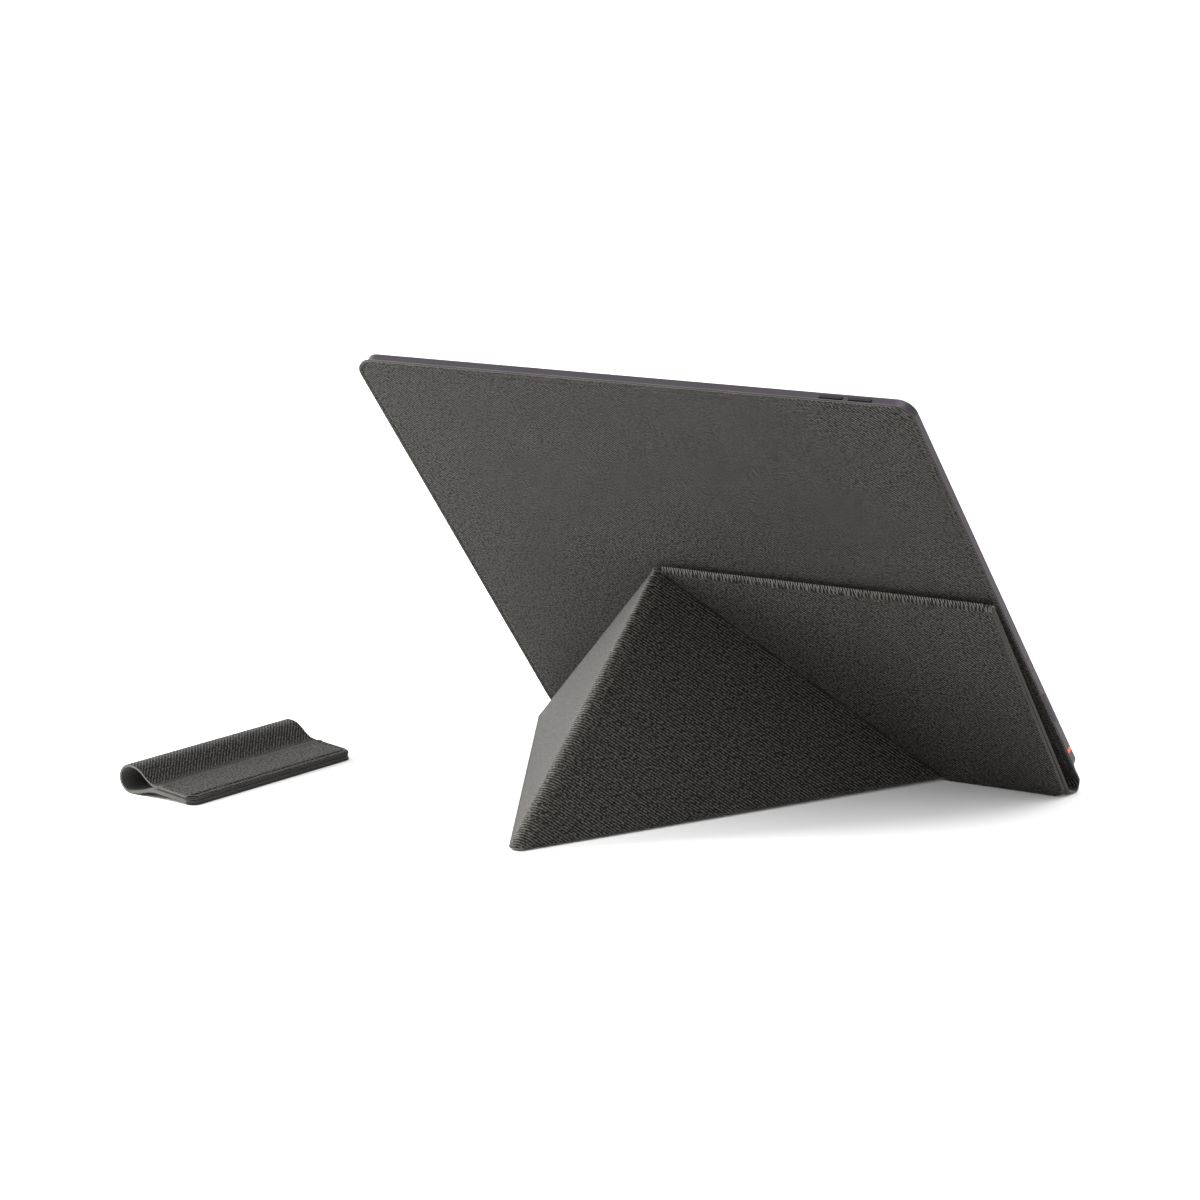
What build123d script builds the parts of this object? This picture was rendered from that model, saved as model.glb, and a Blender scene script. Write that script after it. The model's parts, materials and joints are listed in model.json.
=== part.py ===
"""E-ink tablet standing on its own folding cover, with a magnetic pen loop lying beside it.

The tablet and the cover's back panel are modelled in the tablet's frame: X along the long edge, Y up from
the spine edge, Z out of the back, with the back face at Z = 0. The lid is drawn flat, as four creased panels,
and folded about its creases into the tent that holds the tablet up. Last, everything is leaned back until the
foot of the tent and its folded edge lie on the ground, and centred over the origin.
"""

import os
from math import acos, asin, atan2, cos, degrees, hypot, pi, radians, sin, sqrt

from build123d import *

# Tablet body
tablet_width = 287.5
tablet_height = 243.0
tablet_thickness = 5.3
tablet_corner = 7.5
rear_round = 1.7
front_chamfer = 0.4
side_wall = 1.4
rear_wall = 0.7
pocket_gap = 0.1

# Display stack, from the front
glass_thickness = 0.55
touch_thickness = 0.15
guide_thickness = 0.3
paper_thickness = 0.45
digitiser_thickness = 0.35
frame_thickness = 0.4
panel_margin = 5.0
grip_width = 26.0
light_strip_width = 2.3
light_strip_gap = 2.0

# Inside the rear housing
post_radius = 2.2
post_wall_gap = 2.2
post_top_gap = 3.5
post_hole_depth = 1.8
screw_end_gap = 0.1
frame_window_margin = 12.0
frame_window_corner = 6.0
screw_radius = 0.7
screw_head_radius = 1.35
screw_head_height = 0.25
screw_gap = 0.05
board_thickness = 0.8
board_standoff = 0.7
board_end_gap = 22.0
board_side_gap = 2.2
shield_height = 0.8
shield_wall = 0.25
shield_width = 15.0
shield_lengths = (34.0, 56.0, 44.0)
cell_length = 106.0
cell_width = 88.0
cell_thickness = 2.2
cell_spacing = 12.0
speaker_length = 30.0
speaker_width = 8.0
speaker_height = 2.1
speaker_slot_length = 20.0
speaker_slot_width = 1.2
magnet_length = 22.0
magnet_width = 5.0
magnet_gap = 0.1
tablet_magnet_thickness = 1.6
magnet_edge = 9.5
flex_thickness = 0.2
flex_height = 2.3
flex_bend = 6.0
lead_side_gap = 0.2
lead_tuck = 8.0
plug_length = 8.0
plug_width = 3.0
display_flex_width = 26.0
antenna_length = 13.6
antenna_gap = 2.5
antenna_thickness = 0.3

# Keys, holes and accent on the edges
key_height = 1.6
key_gap = 0.15
key_travel = 0.35
key_edge = 0.12
key_flange = 0.5
key_flange_reach = 1.0
key_wall_gap = 0.05
volume_key_length = 11.8
volume_key_spacing = 14.2
volume_key_from_corner = 31.7
volume_key_rise = 0.55
power_key_length = 19.2
power_key_from_spine = 44.5
power_key_rise = 0.15
switch_depth = 0.8
switch_width = 4.0
switch_height = 2.75
key_notch_gap = 3.0
microphone_radius = 0.4
microphone_from_spine = 74.7
microphone_spacing = 7.5
capsule_width = 3.5
accent_width = 2.5
accent_from_spine = 14.3
accent_depth = 0.3
port_width = 8.94
port_height = 3.16
port_depth = 7.3
port_shell = 0.3
port_gap = 0.12
port_start = 0.15
port_from_spine = 14.0
tongue_width = 6.69
tongue_thickness = 0.7

# Cover
cover_overhang = 1.8
lining_thickness = 0.4
core_thickness = 0.8
twill_thickness = 0.5
cover_magnet_thickness = 0.6
lid_margin = 0.5
apex_from_side = 117.0
front_crease_reach = 227.5
lid_corner = 6.0
side_crease_inset = 1.2
front_crease_inset = 2.6
ridge_inset = 4.2
midline_inset = 0.3
fold_gap = 0.3
flap_spread = 0.5
lid_gap_top = 6.2
lid_gap_bottom = 12.0
lid_rise = 2.2
screen_gap = 0.4
crease_thickness = 1.1
crease_apex_gap = 6.5
crease_end_gap = 2.5
ridge_end_gap = 8.0

# Spine strip
spine_thickness = 0.9
spine_upper_length = 5.4
spine_lower_length = 8.5
spine_drop = 0.6
spine_end_gap = 0.55

# Pen loop
loop_length = 108.0
loop_reach = 47.5
loop_radius = 6.95
loop_wall = 1.3
loop_flap = 1.9
loop_flap_gap = 0.4
loop_pinch = 25.0
loop_pinch_height = 2.3
loop_corner = 5.0
loop_turn = -4.5
loop_place = (-87.5, -168.5)
loop_hinge_gap = 0.3
plate_thickness = 0.7
plate_width = 14.0
plate_end_gap = 8.0
plate_gap = 0.05

# Heights through the tablet, measured from its back face towards the screen
glass_back = -tablet_thickness + glass_thickness
touch_back = glass_back + touch_thickness
guide_back = touch_back + guide_thickness
paper_back = guide_back + paper_thickness
digitiser_back = paper_back + digitiser_thickness
frame_back = digitiser_back + frame_thickness
floor = -rear_wall
board_back = floor - board_standoff
board_front = board_back - board_thickness
mid_height = -tablet_thickness / 2

# Places in the plane of the tablet
inner_right = tablet_width - side_wall
inner_top = tablet_height - side_wall
centre_x = tablet_width / 2
centre_y = tablet_height / 2
display_drop = grip_width + 2.5 * flex_thickness
display_low = grip_width + light_strip_width + light_strip_gap
display_high = tablet_height - panel_margin
key_back = side_wall + key_wall_gap + key_flange
flex_depth = key_back + key_travel + key_wall_gap + switch_depth
volume_keys = [
    tablet_width - volume_key_from_corner - side * volume_key_spacing / 2 for side in (1, -1)
]
microphones = [
    microphone_from_spine + side * microphone_spacing / 2 for side in (-1, 1)
]
magnet_columns = [0.15, 0.38, 0.62, 0.85]
magnet_rows = [grip_width + magnet_edge, tablet_height - magnet_edge]
magnet_places = [(tablet_width * column, row) for column in magnet_columns for row in magnet_rows]
accent_heights = (-tablet_thickness + front_chamfer, -rear_round)
cell_row = tablet_height * 0.46
cell_places = [centre_x + side * (cell_length + cell_spacing) / 2 for side in (-1, 1)]
speaker_rows = [tablet_height * 0.26, tablet_height * 0.8]
half_lid = tablet_height / 2 - lid_margin
cover_thickness = lining_thickness + core_thickness + twill_thickness
lid_length = tablet_width + 2 * cover_overhang


def box(x_range, y_range, z_range):
    """A block given by its two limits along each axis."""
    (x0, x1), (y0, y1), (z0, z1) = x_range, y_range, z_range
    middle = Pos((x0 + x1) / 2, (y0 + y1) / 2, (z0 + z1) / 2)
    return middle * Box(x1 - x0, y1 - y0, z1 - z0)


def block(x, y, length, width, z_range):
    """A block centred at x, y."""
    return box((x - length / 2, x + length / 2), (y - width / 2, y + width / 2), z_range)


def magnet_block(x, y, gap, z_range):
    """A bar magnet, or with a gap round it, its pocket."""
    return block(x, y, magnet_length + 2 * gap, magnet_width + 2 * gap, z_range)


def rounded_plate(length, height, corner, z_low, thickness):
    """A plate with rounded corners, centred on the tablet."""
    outline = RectangleRounded(length, height, corner)
    return Pos(centre_x, centre_y, z_low) * extrude(outline, thickness)


def group(solids):
    return Compound(list(solids))


def frame_posts():
    """Places of the screw posts that carry the mid frame round the cells and the board."""
    edge = side_wall + post_radius + post_wall_gap
    low = grip_width + post_radius
    high = tablet_height - side_wall - post_radius - post_top_gap
    return [(edge, low), (tablet_width - edge, low), (edge, high), (tablet_width * 0.73, high)]


def board_posts():
    return [(tablet_width * share, port_from_spine) for share in (0.2, 0.8)]


def key_slot_right(length, gap):
    """The opening of a key through the right wall, or with no gap, the key's cap."""
    outline = RectangleRounded(length + 2 * gap, key_height + 2 * gap, key_height / 2 + gap - 0.01)
    return Pos(0, 0, mid_height) * (Plane.YZ * outline)


def side_key(length, rise):
    """A key for the right wall, at the spine edge, with a flange that keeps it in."""
    cap_start = tablet_width - side_wall - key_wall_gap
    cap = Pos(cap_start, 0, 0) * extrude(key_slot_right(length, 0), side_wall + key_wall_gap + rise)
    cap = chamfer(cap.faces().sort_by(Axis.X)[-1].edges(), key_edge)
    flange_x = (tablet_width - key_back, cap_start)
    flange_y = length / 2 + key_flange_reach
    flange = box(flange_x, (-flange_y, flange_y), (mid_height - key_height / 2, mid_height + key_height / 2))
    return cap + flange


# A key of the right wall is turned onto the top wall by this


def onto_top(x):
    return Pos(x, tablet_height, 0) * Rot(0, 0, 90) * Pos(-tablet_width, 0, 0)


def power_button():
    return Pos(0, power_key_from_spine, 0) * side_key(power_key_length, power_key_rise)


def volume_button(index):
    return onto_top(volume_keys[index]) * side_key(volume_key_length, volume_key_rise)


def usb_opening(gap, depth):
    outline = RectangleRounded(port_width + 2 * gap, port_height + 2 * gap, port_height / 2 + gap - 0.01)
    return Pos(0, port_from_spine, mid_height) * extrude(Plane.YZ * outline, depth)


def rear_housing():
    """Machined tray with a rounded rear edge, screw posts and the openings of keys, socket and sound."""
    tray = rounded_plate(tablet_width, tablet_height, tablet_corner, -tablet_thickness, tablet_thickness)
    tray = fillet(tray.faces().sort_by(Axis.Z)[-1].edges(), rear_round)
    tray = chamfer(tray.faces().sort_by(Axis.Z)[0].edges(), front_chamfer)
    tray -= rounded_plate(
        tablet_width - 2 * side_wall,
        tablet_height - 2 * side_wall,
        tablet_corner - side_wall,
        -tablet_thickness,
        tablet_thickness - rear_wall,
    )
    for x, y in frame_posts():
        post = Pos(x, y, frame_back) * extrude(Circle(post_radius), floor - frame_back)
        tray += post - Pos(x, y, frame_back) * extrude(Circle(screw_radius + screw_gap), post_hole_depth)
    for x, y in board_posts():
        post = Pos(x, y, board_back) * extrude(Circle(post_radius), board_standoff)
        tray += post - Pos(x, y, board_back) * extrude(Circle(screw_radius + screw_gap), board_standoff)
    wall = side_wall + rear_round
    slot = Pos(tablet_width - wall, power_key_from_spine, 0)
    tray -= slot * extrude(key_slot_right(power_key_length, key_gap), wall + 1)
    for x in volume_keys:
        slot = onto_top(x) * Pos(tablet_width - wall, 0, 0)
        tray -= slot * extrude(key_slot_right(volume_key_length, key_gap), wall + 1)
    for y in microphones:
        hole = Pos(tablet_width - wall, y, mid_height) * Rot(0, 90, 0)
        tray -= hole * extrude(Circle(microphone_radius), wall + 1)
    grille = Plane.YZ * Rectangle(speaker_slot_length, speaker_slot_width)
    for row in speaker_rows:
        tray -= Pos(-1, row, mid_height) * extrude(grille, wall + 1)
    tray -= Pos(-1, 0, 0) * usb_opening(port_gap, side_wall + 2)
    tray -= accent_groove()
    return tray


def accent_groove():
    low = accent_from_spine - accent_width / 2
    return box(
        (tablet_width - accent_depth, tablet_width + 1),
        (low, low + accent_width),
        accent_heights,
    )


def accent_strip():
    low = accent_from_spine - accent_width / 2
    return box(
        (tablet_width - accent_depth, tablet_width),
        (low, low + accent_width),
        accent_heights,
    )


def cover_glass():
    return rounded_plate(
        tablet_width - 2 * (side_wall + pocket_gap),
        tablet_height - 2 * (side_wall + pocket_gap),
        tablet_corner - side_wall - pocket_gap,
        -tablet_thickness,
        glass_thickness,
    )


def touch_sensor():
    return rounded_plate(
        tablet_width - 2 * side_wall - 2,
        tablet_height - 2 * side_wall - 2,
        tablet_corner - side_wall - 1,
        glass_back,
        touch_thickness,
    )


def display_layer(back, thickness, growth):
    """One sheet of the display, reaching a little past the visible area."""
    return box(
        (panel_margin - growth, tablet_width - panel_margin + growth),
        (display_low - growth, display_high + growth),
        (back - thickness, back),
    )


def front_light_strip():
    low = display_low - light_strip_width
    return box(
        (panel_margin, tablet_width - panel_margin),
        (low, display_low - pocket_gap),
        (guide_back - guide_thickness, guide_back),
    )


def grip_spacer():
    """Moulded filler behind the wide grip border, notched for the socket."""
    rim = side_wall + 1
    filler = digitiser_back - touch_back
    spacer = rounded_plate(
        tablet_width - 2 * rim, tablet_height - 2 * rim, tablet_corner - rim, touch_back, filler
    )
    spacer &= box((0, tablet_width), (0, grip_width), (touch_back, digitiser_back))
    return spacer - usb_opening(1.2, side_wall + port_depth + 2)


def key_notch(length):
    depth = flex_depth + flex_thickness + key_notch_gap / 10
    reach = length / 2 + key_notch_gap
    return box((tablet_width - depth, tablet_width), (-reach, reach), (digitiser_back, frame_back))


def mid_frame():
    """Stamped sheet that carries the display, with windows over the cells and countersunk screw seats."""
    sheet = rounded_plate(
        tablet_width - 2 * (side_wall + pocket_gap),
        tablet_height - 2 * (side_wall + pocket_gap),
        tablet_corner - side_wall - pocket_gap,
        digitiser_back,
        frame_thickness,
    )
    for x in cell_places:
        window = RectangleRounded(
            cell_length - 2 * frame_window_margin, cell_width - 2 * frame_window_margin, frame_window_corner
        )
        sheet -= Pos(x, cell_row, digitiser_back) * extrude(window, frame_thickness)
    for x, y in frame_posts():
        sheet -= Pos(x, y, digitiser_back) * extrude(Circle(screw_radius + screw_gap), frame_thickness)
        seat = extrude(Circle(screw_head_radius + screw_gap), screw_head_height)
        sheet -= Pos(x, y, digitiser_back) * seat
    sheet -= Pos(0, power_key_from_spine, 0) * key_notch(power_key_length)
    for x in volume_keys:
        sheet -= onto_top(x) * key_notch(volume_key_length)
    sheet -= usb_opening(1.2, side_wall + port_depth + 2)
    slot_length = display_flex_width + 2 * flex_bend
    slot_width = 6 * flex_thickness
    return sheet - block(
        centre_x, display_drop, slot_length, slot_width, (digitiser_back, frame_back)
    )


def frame_screws():
    """Countersunk screws, heads against the mid frame or the main board."""
    screws = []
    for x, y in frame_posts():
        shank = extrude(Circle(screw_radius), post_hole_depth - screw_end_gap + frame_thickness)
        head = extrude(Circle(screw_head_radius), screw_head_height - screw_gap)
        screws.append(Pos(x, y, digitiser_back + screw_gap) * (shank + head))
    for x, y in board_posts():
        shank = extrude(Circle(screw_radius), board_thickness + screw_head_height + board_standoff)
        head = extrude(Circle(screw_head_radius), screw_head_height)
        screws.append(Pos(x, y, board_front - screw_head_height) * (shank + head))
    return group(screws)


def main_board():
    """Long board in the grip strip, with screw holes and a notch that holds the socket."""
    z_range = (board_front, board_back)
    board = box(
        (side_wall + board_side_gap, tablet_width - board_end_gap),
        (side_wall + board_side_gap, grip_width - board_side_gap),
        z_range,
    )
    notch = port_start + port_depth
    board -= block(0, port_from_spine, 2 * notch, port_width + 2 * port_gap, z_range)
    for x, y in board_posts():
        board -= Pos(x, y, board_front) * extrude(Circle(screw_radius + screw_gap), board_thickness)
    return board


def shield_cans():
    """Folded cans over the processor, memory and radio."""
    cans = []
    low = board_front - shield_height
    for share, length in zip((0.11, 0.35, 0.66), shield_lengths):
        inner_length, inner_width = length - 2 * shield_wall, shield_width - 2 * shield_wall
        can = block(0, 0, length, shield_width, (low, board_front))
        can -= block(0, 0, inner_length, inner_width, (low + shield_wall, board_front))
        cans.append(Pos(tablet_width * share, port_from_spine, 0) * can)
    return group(cans)


def usb_c_port():
    """Socket shell, closed at the back, with its contact tongue."""
    start = port_start
    shell = Pos(start, 0, 0) * usb_opening(0, port_depth)
    shell -= Pos(start - 1, 0, 0) * usb_opening(-port_shell, port_depth)
    tongue = block(
        start + port_depth / 2 + 0.6,
        port_from_spine,
        port_depth - 1.2,
        tongue_width,
        (mid_height - tongue_thickness / 2, mid_height + tongue_thickness / 2),
    )
    return shell + tongue


def battery_cells():
    return group(
        block(x, cell_row, cell_length, cell_width, (floor - cell_thickness, floor)) for x in cell_places
    )


def battery_flex():
    """Flat lead that runs between the two cells to a plug under the main board's edge."""
    half = cell_spacing / 2 - lead_side_gap
    low = floor - flex_thickness
    start = grip_width - lead_tuck
    lead = box((centre_x - half, centre_x + half), (start, cell_row + cell_width / 2), (low, floor))
    return lead + block(centre_x, start + plug_width, plug_length, plug_width, (board_back, low))


def display_flex():
    """Folded tail from the lower edge of the e-paper, through the mid frame, onto the main board."""
    drop = display_drop
    end = grip_width - flex_bend
    front = paper_back - flex_thickness / 2
    profile = Polyline(
        (display_low, front),
        (drop, front),
        (drop, board_front),
        (end, board_front),
        (end, board_front - flex_thickness),
        (drop - flex_thickness, board_front - flex_thickness),
        (drop - flex_thickness, front - flex_thickness),
        (display_low, front - flex_thickness),
        close=True,
    )
    start = centre_x - display_flex_width / 2
    return Pos(start, 0, 0) * extrude(make_face(Plane.YZ * profile), display_flex_width)


def speakers():
    return group(
        block(side_wall + 0.3 + speaker_width / 2, row, speaker_width, speaker_length, (floor - speaker_height, floor))
        for row in speaker_rows
    )


def microphone_capsules():
    depth = flex_depth - side_wall - 0.1
    x = inner_right - 0.05 - depth / 2
    return group(block(x, y, depth, capsule_width, (floor - flex_height, floor)) for y in microphones)


def key_switches():
    """Dome switches behind the three keys, standing on the housing's floor."""
    x_range = (tablet_width - flex_depth, tablet_width - flex_depth + switch_depth)
    switch = box(x_range, (-switch_width / 2, switch_width / 2), (floor - switch_height, floor))
    return group([Pos(0, power_key_from_spine, 0) * switch] + [onto_top(x) * switch for x in volume_keys])


def key_flex():
    """Thin flex standing behind the switches, from the power key round to the volume keys."""
    outer = flex_depth
    inner = flex_depth + flex_thickness
    z_range = (floor - flex_height, floor)
    low = power_key_from_spine - power_key_length / 2
    corner_x = tablet_width - inner - flex_bend
    corner_y = tablet_height - inner - flex_bend
    side = box((tablet_width - inner, tablet_width - outer), (low, corner_y), z_range)
    start = volume_keys[0] - volume_key_length
    top = box((start, corner_x), (tablet_height - inner, tablet_height - outer), z_range)
    ring = Circle(flex_bend + flex_thickness) - Circle(flex_bend)
    bend = Pos(corner_x, corner_y, floor - flex_height) * extrude(ring, flex_height)
    bend &= box((corner_x, tablet_width), (corner_y, tablet_height), z_range)
    return side + top + bend


def antenna_flex():
    """Printed antenna at the end of the grip strip, clear of the board."""
    high = inner_right - antenna_gap
    low = side_wall + antenna_gap
    return box(
        (high - antenna_length, high), (low, grip_width - antenna_gap), (floor - antenna_thickness, floor)
    )


def tablet_magnets():
    low = floor - tablet_magnet_thickness
    return group(magnet_block(x, y, 0, (low, floor)) for x, y in magnet_places)


# Back panel of the cover, held on the tablet's back by its magnets


def back_sheet(z_low, thickness):
    grow = 2 * cover_overhang
    corner = tablet_corner + cover_overhang
    return rounded_plate(tablet_width + grow, tablet_height + grow, corner, z_low, thickness)


def back_panel_lining():
    return back_sheet(0, lining_thickness)


def back_panel_core():
    """Stiff board with a pocket for each magnet."""
    low = lining_thickness
    core = back_sheet(low, core_thickness)
    for x, y in magnet_places:
        core -= magnet_block(x, y, magnet_gap, (low, low + cover_magnet_thickness))
    return core


def back_panel_magnets():
    low = lining_thickness
    high = low + cover_magnet_thickness
    return group(magnet_block(x, y, 0, (low, high)) for x, y in magnet_places)


def back_panel_twill():
    return back_sheet(lining_thickness + core_thickness, twill_thickness)


# The lid, drawn flat: X along the spine, Y away from it, Z out of the lining. Every crease is a line in the
# plane Z = 0, just off the lining, and they all meet in one point, so the panels fold and close exactly.

spine_left = Vector(0, 0, 0)
spine_right = Vector(lid_length, 0, 0)
apex = Vector(apex_from_side, half_lid, 0)
midline_end = Vector(lid_length, half_lid, 0)
foot = Vector(0, 2 * half_lid, 0)
front_end = Vector(front_crease_reach, 2 * half_lid, 0)
lid_far = Vector(lid_length, 2 * half_lid, 0)
lining_face = -fold_gap / 2
core_face = lining_face - lining_thickness
twill_face = core_face - core_thickness
outer_face = twill_face - twill_thickness
lid_middle = lining_face - cover_thickness / 2

# Panel outlines with the inset of each side: the crease allowances, or none along the lid's own edge
panel_shapes = {
    "inner": (
        [spine_left, spine_right, midline_end, apex],
        [spine_drop, 0, midline_inset, side_crease_inset],
    ),
    "outer": (
        [apex, midline_end, lid_far, front_end],
        [midline_inset, 0, 0, front_crease_inset],
    ),
    "front": ([apex, front_end, foot], [front_crease_inset, 0, ridge_inset]),
    "side": ([apex, foot, spine_left], [ridge_inset, 0, side_crease_inset]),
}
fold_magnets = [(share, half_lid * 0.5) for share in (0.72, 0.84)]


def inset_outline(corners, insets):
    """The corners of a counter-clockwise polygon with each side, from a corner to the next, moved in."""
    lines = []
    for i, distance in enumerate(insets):
        along = (corners[(i + 1) % len(corners)] - corners[i]).normalized()
        lines.append((corners[i] + Vector(-along.Y, along.X, 0) * distance, along))
    points = []
    for i in range(len(corners)):
        (p, d), (q, e) = lines[i - 1], lines[i]
        step = ((q.X - p.X) * e.Y - (q.Y - p.Y) * e.X) / (d.X * e.Y - d.Y * e.X)
        points.append(tuple(p + d * step)[:2])
    return points


def lid_outline():
    """The lid's outline: rounded at the free edge, square at the spine."""
    rounded = RectangleRounded(lid_length, 2 * half_lid, lid_corner)
    square = Pos(0, -half_lid / 2) * Rectangle(lid_length, half_lid)
    return Pos(lid_length / 2, half_lid) * (rounded + square)


def panel_layer(panel, z_low, thickness):
    """One layer of a lid panel: its polygon, trimmed by the lid's outline."""
    corners, insets = panel_shapes[panel]
    face = make_face(Polyline(*inset_outline(corners, insets), close=True)) & lid_outline()
    return Pos(0, 0, z_low) * extrude(face, thickness)


def lid_magnet_places(panel):
    sign = -1 if panel == "inner" else 1
    return [(lid_length * share, half_lid + sign * away) for share, away in fold_magnets]


def panel_core(panel):
    """Stiff board of a panel, with pockets for the magnets that hold the lid folded in half."""
    core = panel_layer(panel, twill_face, core_thickness)
    if panel in ("inner", "outer"):
        for x, y in lid_magnet_places(panel):
            pocket = (core_face - cover_magnet_thickness, core_face)
            core -= magnet_block(x, y, magnet_gap, pocket)
    return core


def lid_magnets(panel):
    z_range = (core_face - cover_magnet_thickness, core_face)
    return group(magnet_block(x, y, 0, z_range) for x, y in lid_magnet_places(panel))


# Folding: the inner panel leans away from the back panel, the others turn about the creases


def turn_about(point, direction, angle):
    """A turn by an angle in degrees about the line through a point."""
    line = Plane(origin=point, z_dir=direction).location
    return line * Rot(0, 0, angle) * line.inverse()


def moved_point(location, point):
    return (location * Pos(point)).position


def turn_between(point, direction, start, end):
    """The angle in degrees about a line that brings one point into the half plane of another."""
    along = direction.normalized()
    a, b = start - point, end - point
    a, b = a - along * a.dot(along), b - along * b.dot(along)
    return degrees(atan2(along.dot(a.cross(b)), a.dot(b)))


def meeting_point(first, r1, second, r2, third, r3):
    """The point at known distances from three points, on the side the lining faces."""
    ex = (second - first).normalized()
    i = ex.dot(third - first)
    ey = (third - first - ex * i).normalized()
    ez = ex.cross(ey)
    d, j = (second - first).length, ey.dot(third - first)
    x = (r1**2 - r2**2 + d**2) / (2 * d)
    y = (r1**2 - r3**2 + i**2 + j**2 - 2 * i * x) / (2 * j)
    z = sqrt(r1**2 - x**2 - y**2)
    near, far = (first + ex * x + ey * y + ez * side for side in (z, -z))
    return near if near.Z > far.Z else far


lid_lean = degrees(asin((lid_gap_bottom - lid_gap_top) / half_lid))
midline_turn = 180 - flap_spread
outer_turn = turn_about(apex, Vector(1, 0, 0), midline_turn)
folded_foot = meeting_point(
    apex,
    (foot - apex).length,
    spine_left,
    2 * half_lid,
    moved_point(outer_turn, front_end),
    front_crease_reach,
)
side_turn = turn_between(spine_left, apex - spine_left, foot, folded_foot)
front_turn = turn_between(apex, front_end - apex, foot, moved_point(outer_turn.inverse(), folded_foot))

inner_place = Pos(-cover_overhang, lid_rise, lid_gap_bottom) * Rot(-lid_lean, 0, 0)
outer_place = inner_place * outer_turn
panel_places = {
    "inner": inner_place,
    "outer": outer_place,
    "front": outer_place * turn_about(apex, front_end - apex, front_turn),
    "side": inner_place * turn_about(spine_left, apex - spine_left, side_turn),
}


def crease_band(first, second, start, end, inset, trim_start, trim_end):
    """A soft crease: a strip bent round the line from start to end, tangent to the middle of both panels.

    The two panels stop short of the line by the inset, and the band by a trim at each end.
    """
    place = panel_places[first]
    a, b = moved_point(place, start), moved_point(place, end)
    axis = (b - a).normalized()
    edges, inwards = [], []
    for panel in (first, second):
        corners, _ = panel_shapes[panel]
        away = moved_point(panel_places[panel], sum(corners, Vector()) / len(corners)) - a
        inwards.append((away - axis * away.dot(axis)).normalized())
        normal = moved_point(panel_places[panel], Vector(0, 0, 1)) - panel_places[panel].position
        edges.append(a + inwards[-1] * inset + normal * lid_middle)
    bisector = (inwards[0] + inwards[1]).normalized()
    centre = a + bisector * (inset / inwards[0].dot(bisector))
    sweep = turn_between(centre, axis, edges[0], edges[1])
    radius = (edges[0] - centre).length
    base = Plane(origin=centre + axis * trim_start, x_dir=edges[0] - centre, z_dir=axis)
    arcs = [CenterArc((0, 0), radius + side * crease_thickness / 2, 0, sweep) for side in (1, -1)]
    ends = [Line(arcs[0] @ t, arcs[1] @ t) for t in (0, 1)]
    face = make_face(Curve() + arcs + ends)
    return base.location * extrude(face, (b - a).length - trim_start - trim_end)


def midline_crease():
    return crease_band("inner", "outer", apex, midline_end, midline_inset, crease_apex_gap, 0)


def ridge_crease():
    return crease_band("side", "front", apex, foot, ridge_inset, ridge_end_gap, ridge_end_gap)


def side_crease():
    ends = (crease_end_gap, crease_apex_gap)
    return crease_band("inner", "side", spine_left, apex, side_crease_inset, *ends)


def front_crease():
    ends = (crease_apex_gap, crease_end_gap)
    return crease_band("outer", "front", apex, front_end, front_crease_inset, *ends)


# Standing up: the foot of the ridge and the outer panel's free edge lie on the ground

rest_foot = moved_point(inner_place, folded_foot)
rest_edge = moved_point(outer_place, front_end + Vector(0, 0, outer_face))
lean = degrees(atan2(rest_foot.Y - rest_edge.Y, rest_foot.Z - rest_edge.Z))
lean_back = Rot(90 + lean, 0, 0)


# Spine: two soft strips in a loop under the tablet's lower edge

spine_top = Vector(0, -cover_overhang - spine_drop, cover_thickness / 2)
spine_end = moved_point(inner_place, Vector(cover_overhang, 0, lid_middle))
closed_place = Pos(-cover_overhang, centre_y - half_lid, -tablet_thickness - screen_gap - lining_face)
closed_end = moved_point(closed_place, Vector(cover_overhang, 0, lid_middle))


def spine_corner(end):
    """Where the two strips meet, for a given place of the lid's edge: the bend hangs away from the tablet."""
    span = end - spine_top
    along = span.normalized()
    reach = (spine_upper_length**2 - spine_lower_length**2 + span.length**2) / (2 * span.length)
    height = sqrt(spine_upper_length**2 - reach**2)
    aside = Vector(0, along.Z, -along.Y)
    aside = aside if aside.Y < 0 else aside * -1
    return spine_top + along * reach + aside * height


def heading(vector):
    return degrees(atan2(-vector.Y, vector.Z))


def spine_strip(start, end):
    """A flat strip between two hinge lines, short of both by the end gap."""
    span = end - start
    along = span.normalized()
    width = span.length - 2 * spine_end_gap
    base = Plane(
        origin=start + along * spine_end_gap + Vector(-cover_overhang, 0, 0),
        x_dir=(1, 0, 0),
        z_dir=Vector(1, 0, 0).cross(along),
    )
    outline = Pos(lid_length / 2, width / 2) * Rectangle(lid_length, width)
    strip = base.location * extrude(outline, spine_thickness / 2, both=True)
    return fillet(strip.edges().filter_by(Axis.X), spine_thickness * 0.45)


spine_bend = spine_corner(spine_end)

# Pen loop, in its own frame: X from the back of the sleeve to the free edge, Y along it, Z up


def extrude_profile(face):
    return Rot(90, 0, 0) * extrude(face, loop_length / 2, both=True)


def flap_line(height):
    """A line of the flaps, which slope down from the pinch to the free edge."""
    return (loop_pinch, loop_pinch_height + height), (loop_reach, height)


def tangent_bend(start, direction, end, end_direction):
    """Two arcs that join two places smoothly, leaving along one direction and arriving along another."""
    a, b = Vector(*start), Vector(*end)
    d, e = Vector(*direction).normalized(), Vector(*end_direction).normalized()
    chord, total = b - a, d + e
    k = total.dot(total) - 4
    reach = (chord.dot(total) - sqrt(chord.dot(total) ** 2 - k * chord.dot(chord))) / k
    knee_in, knee_out = a + d * reach, b - e * reach
    middle = (knee_in + knee_out) * 0.5
    return [TangentArc(a, middle, tangent=d), TangentArc(middle, b, tangent=knee_out - knee_in)]


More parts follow.
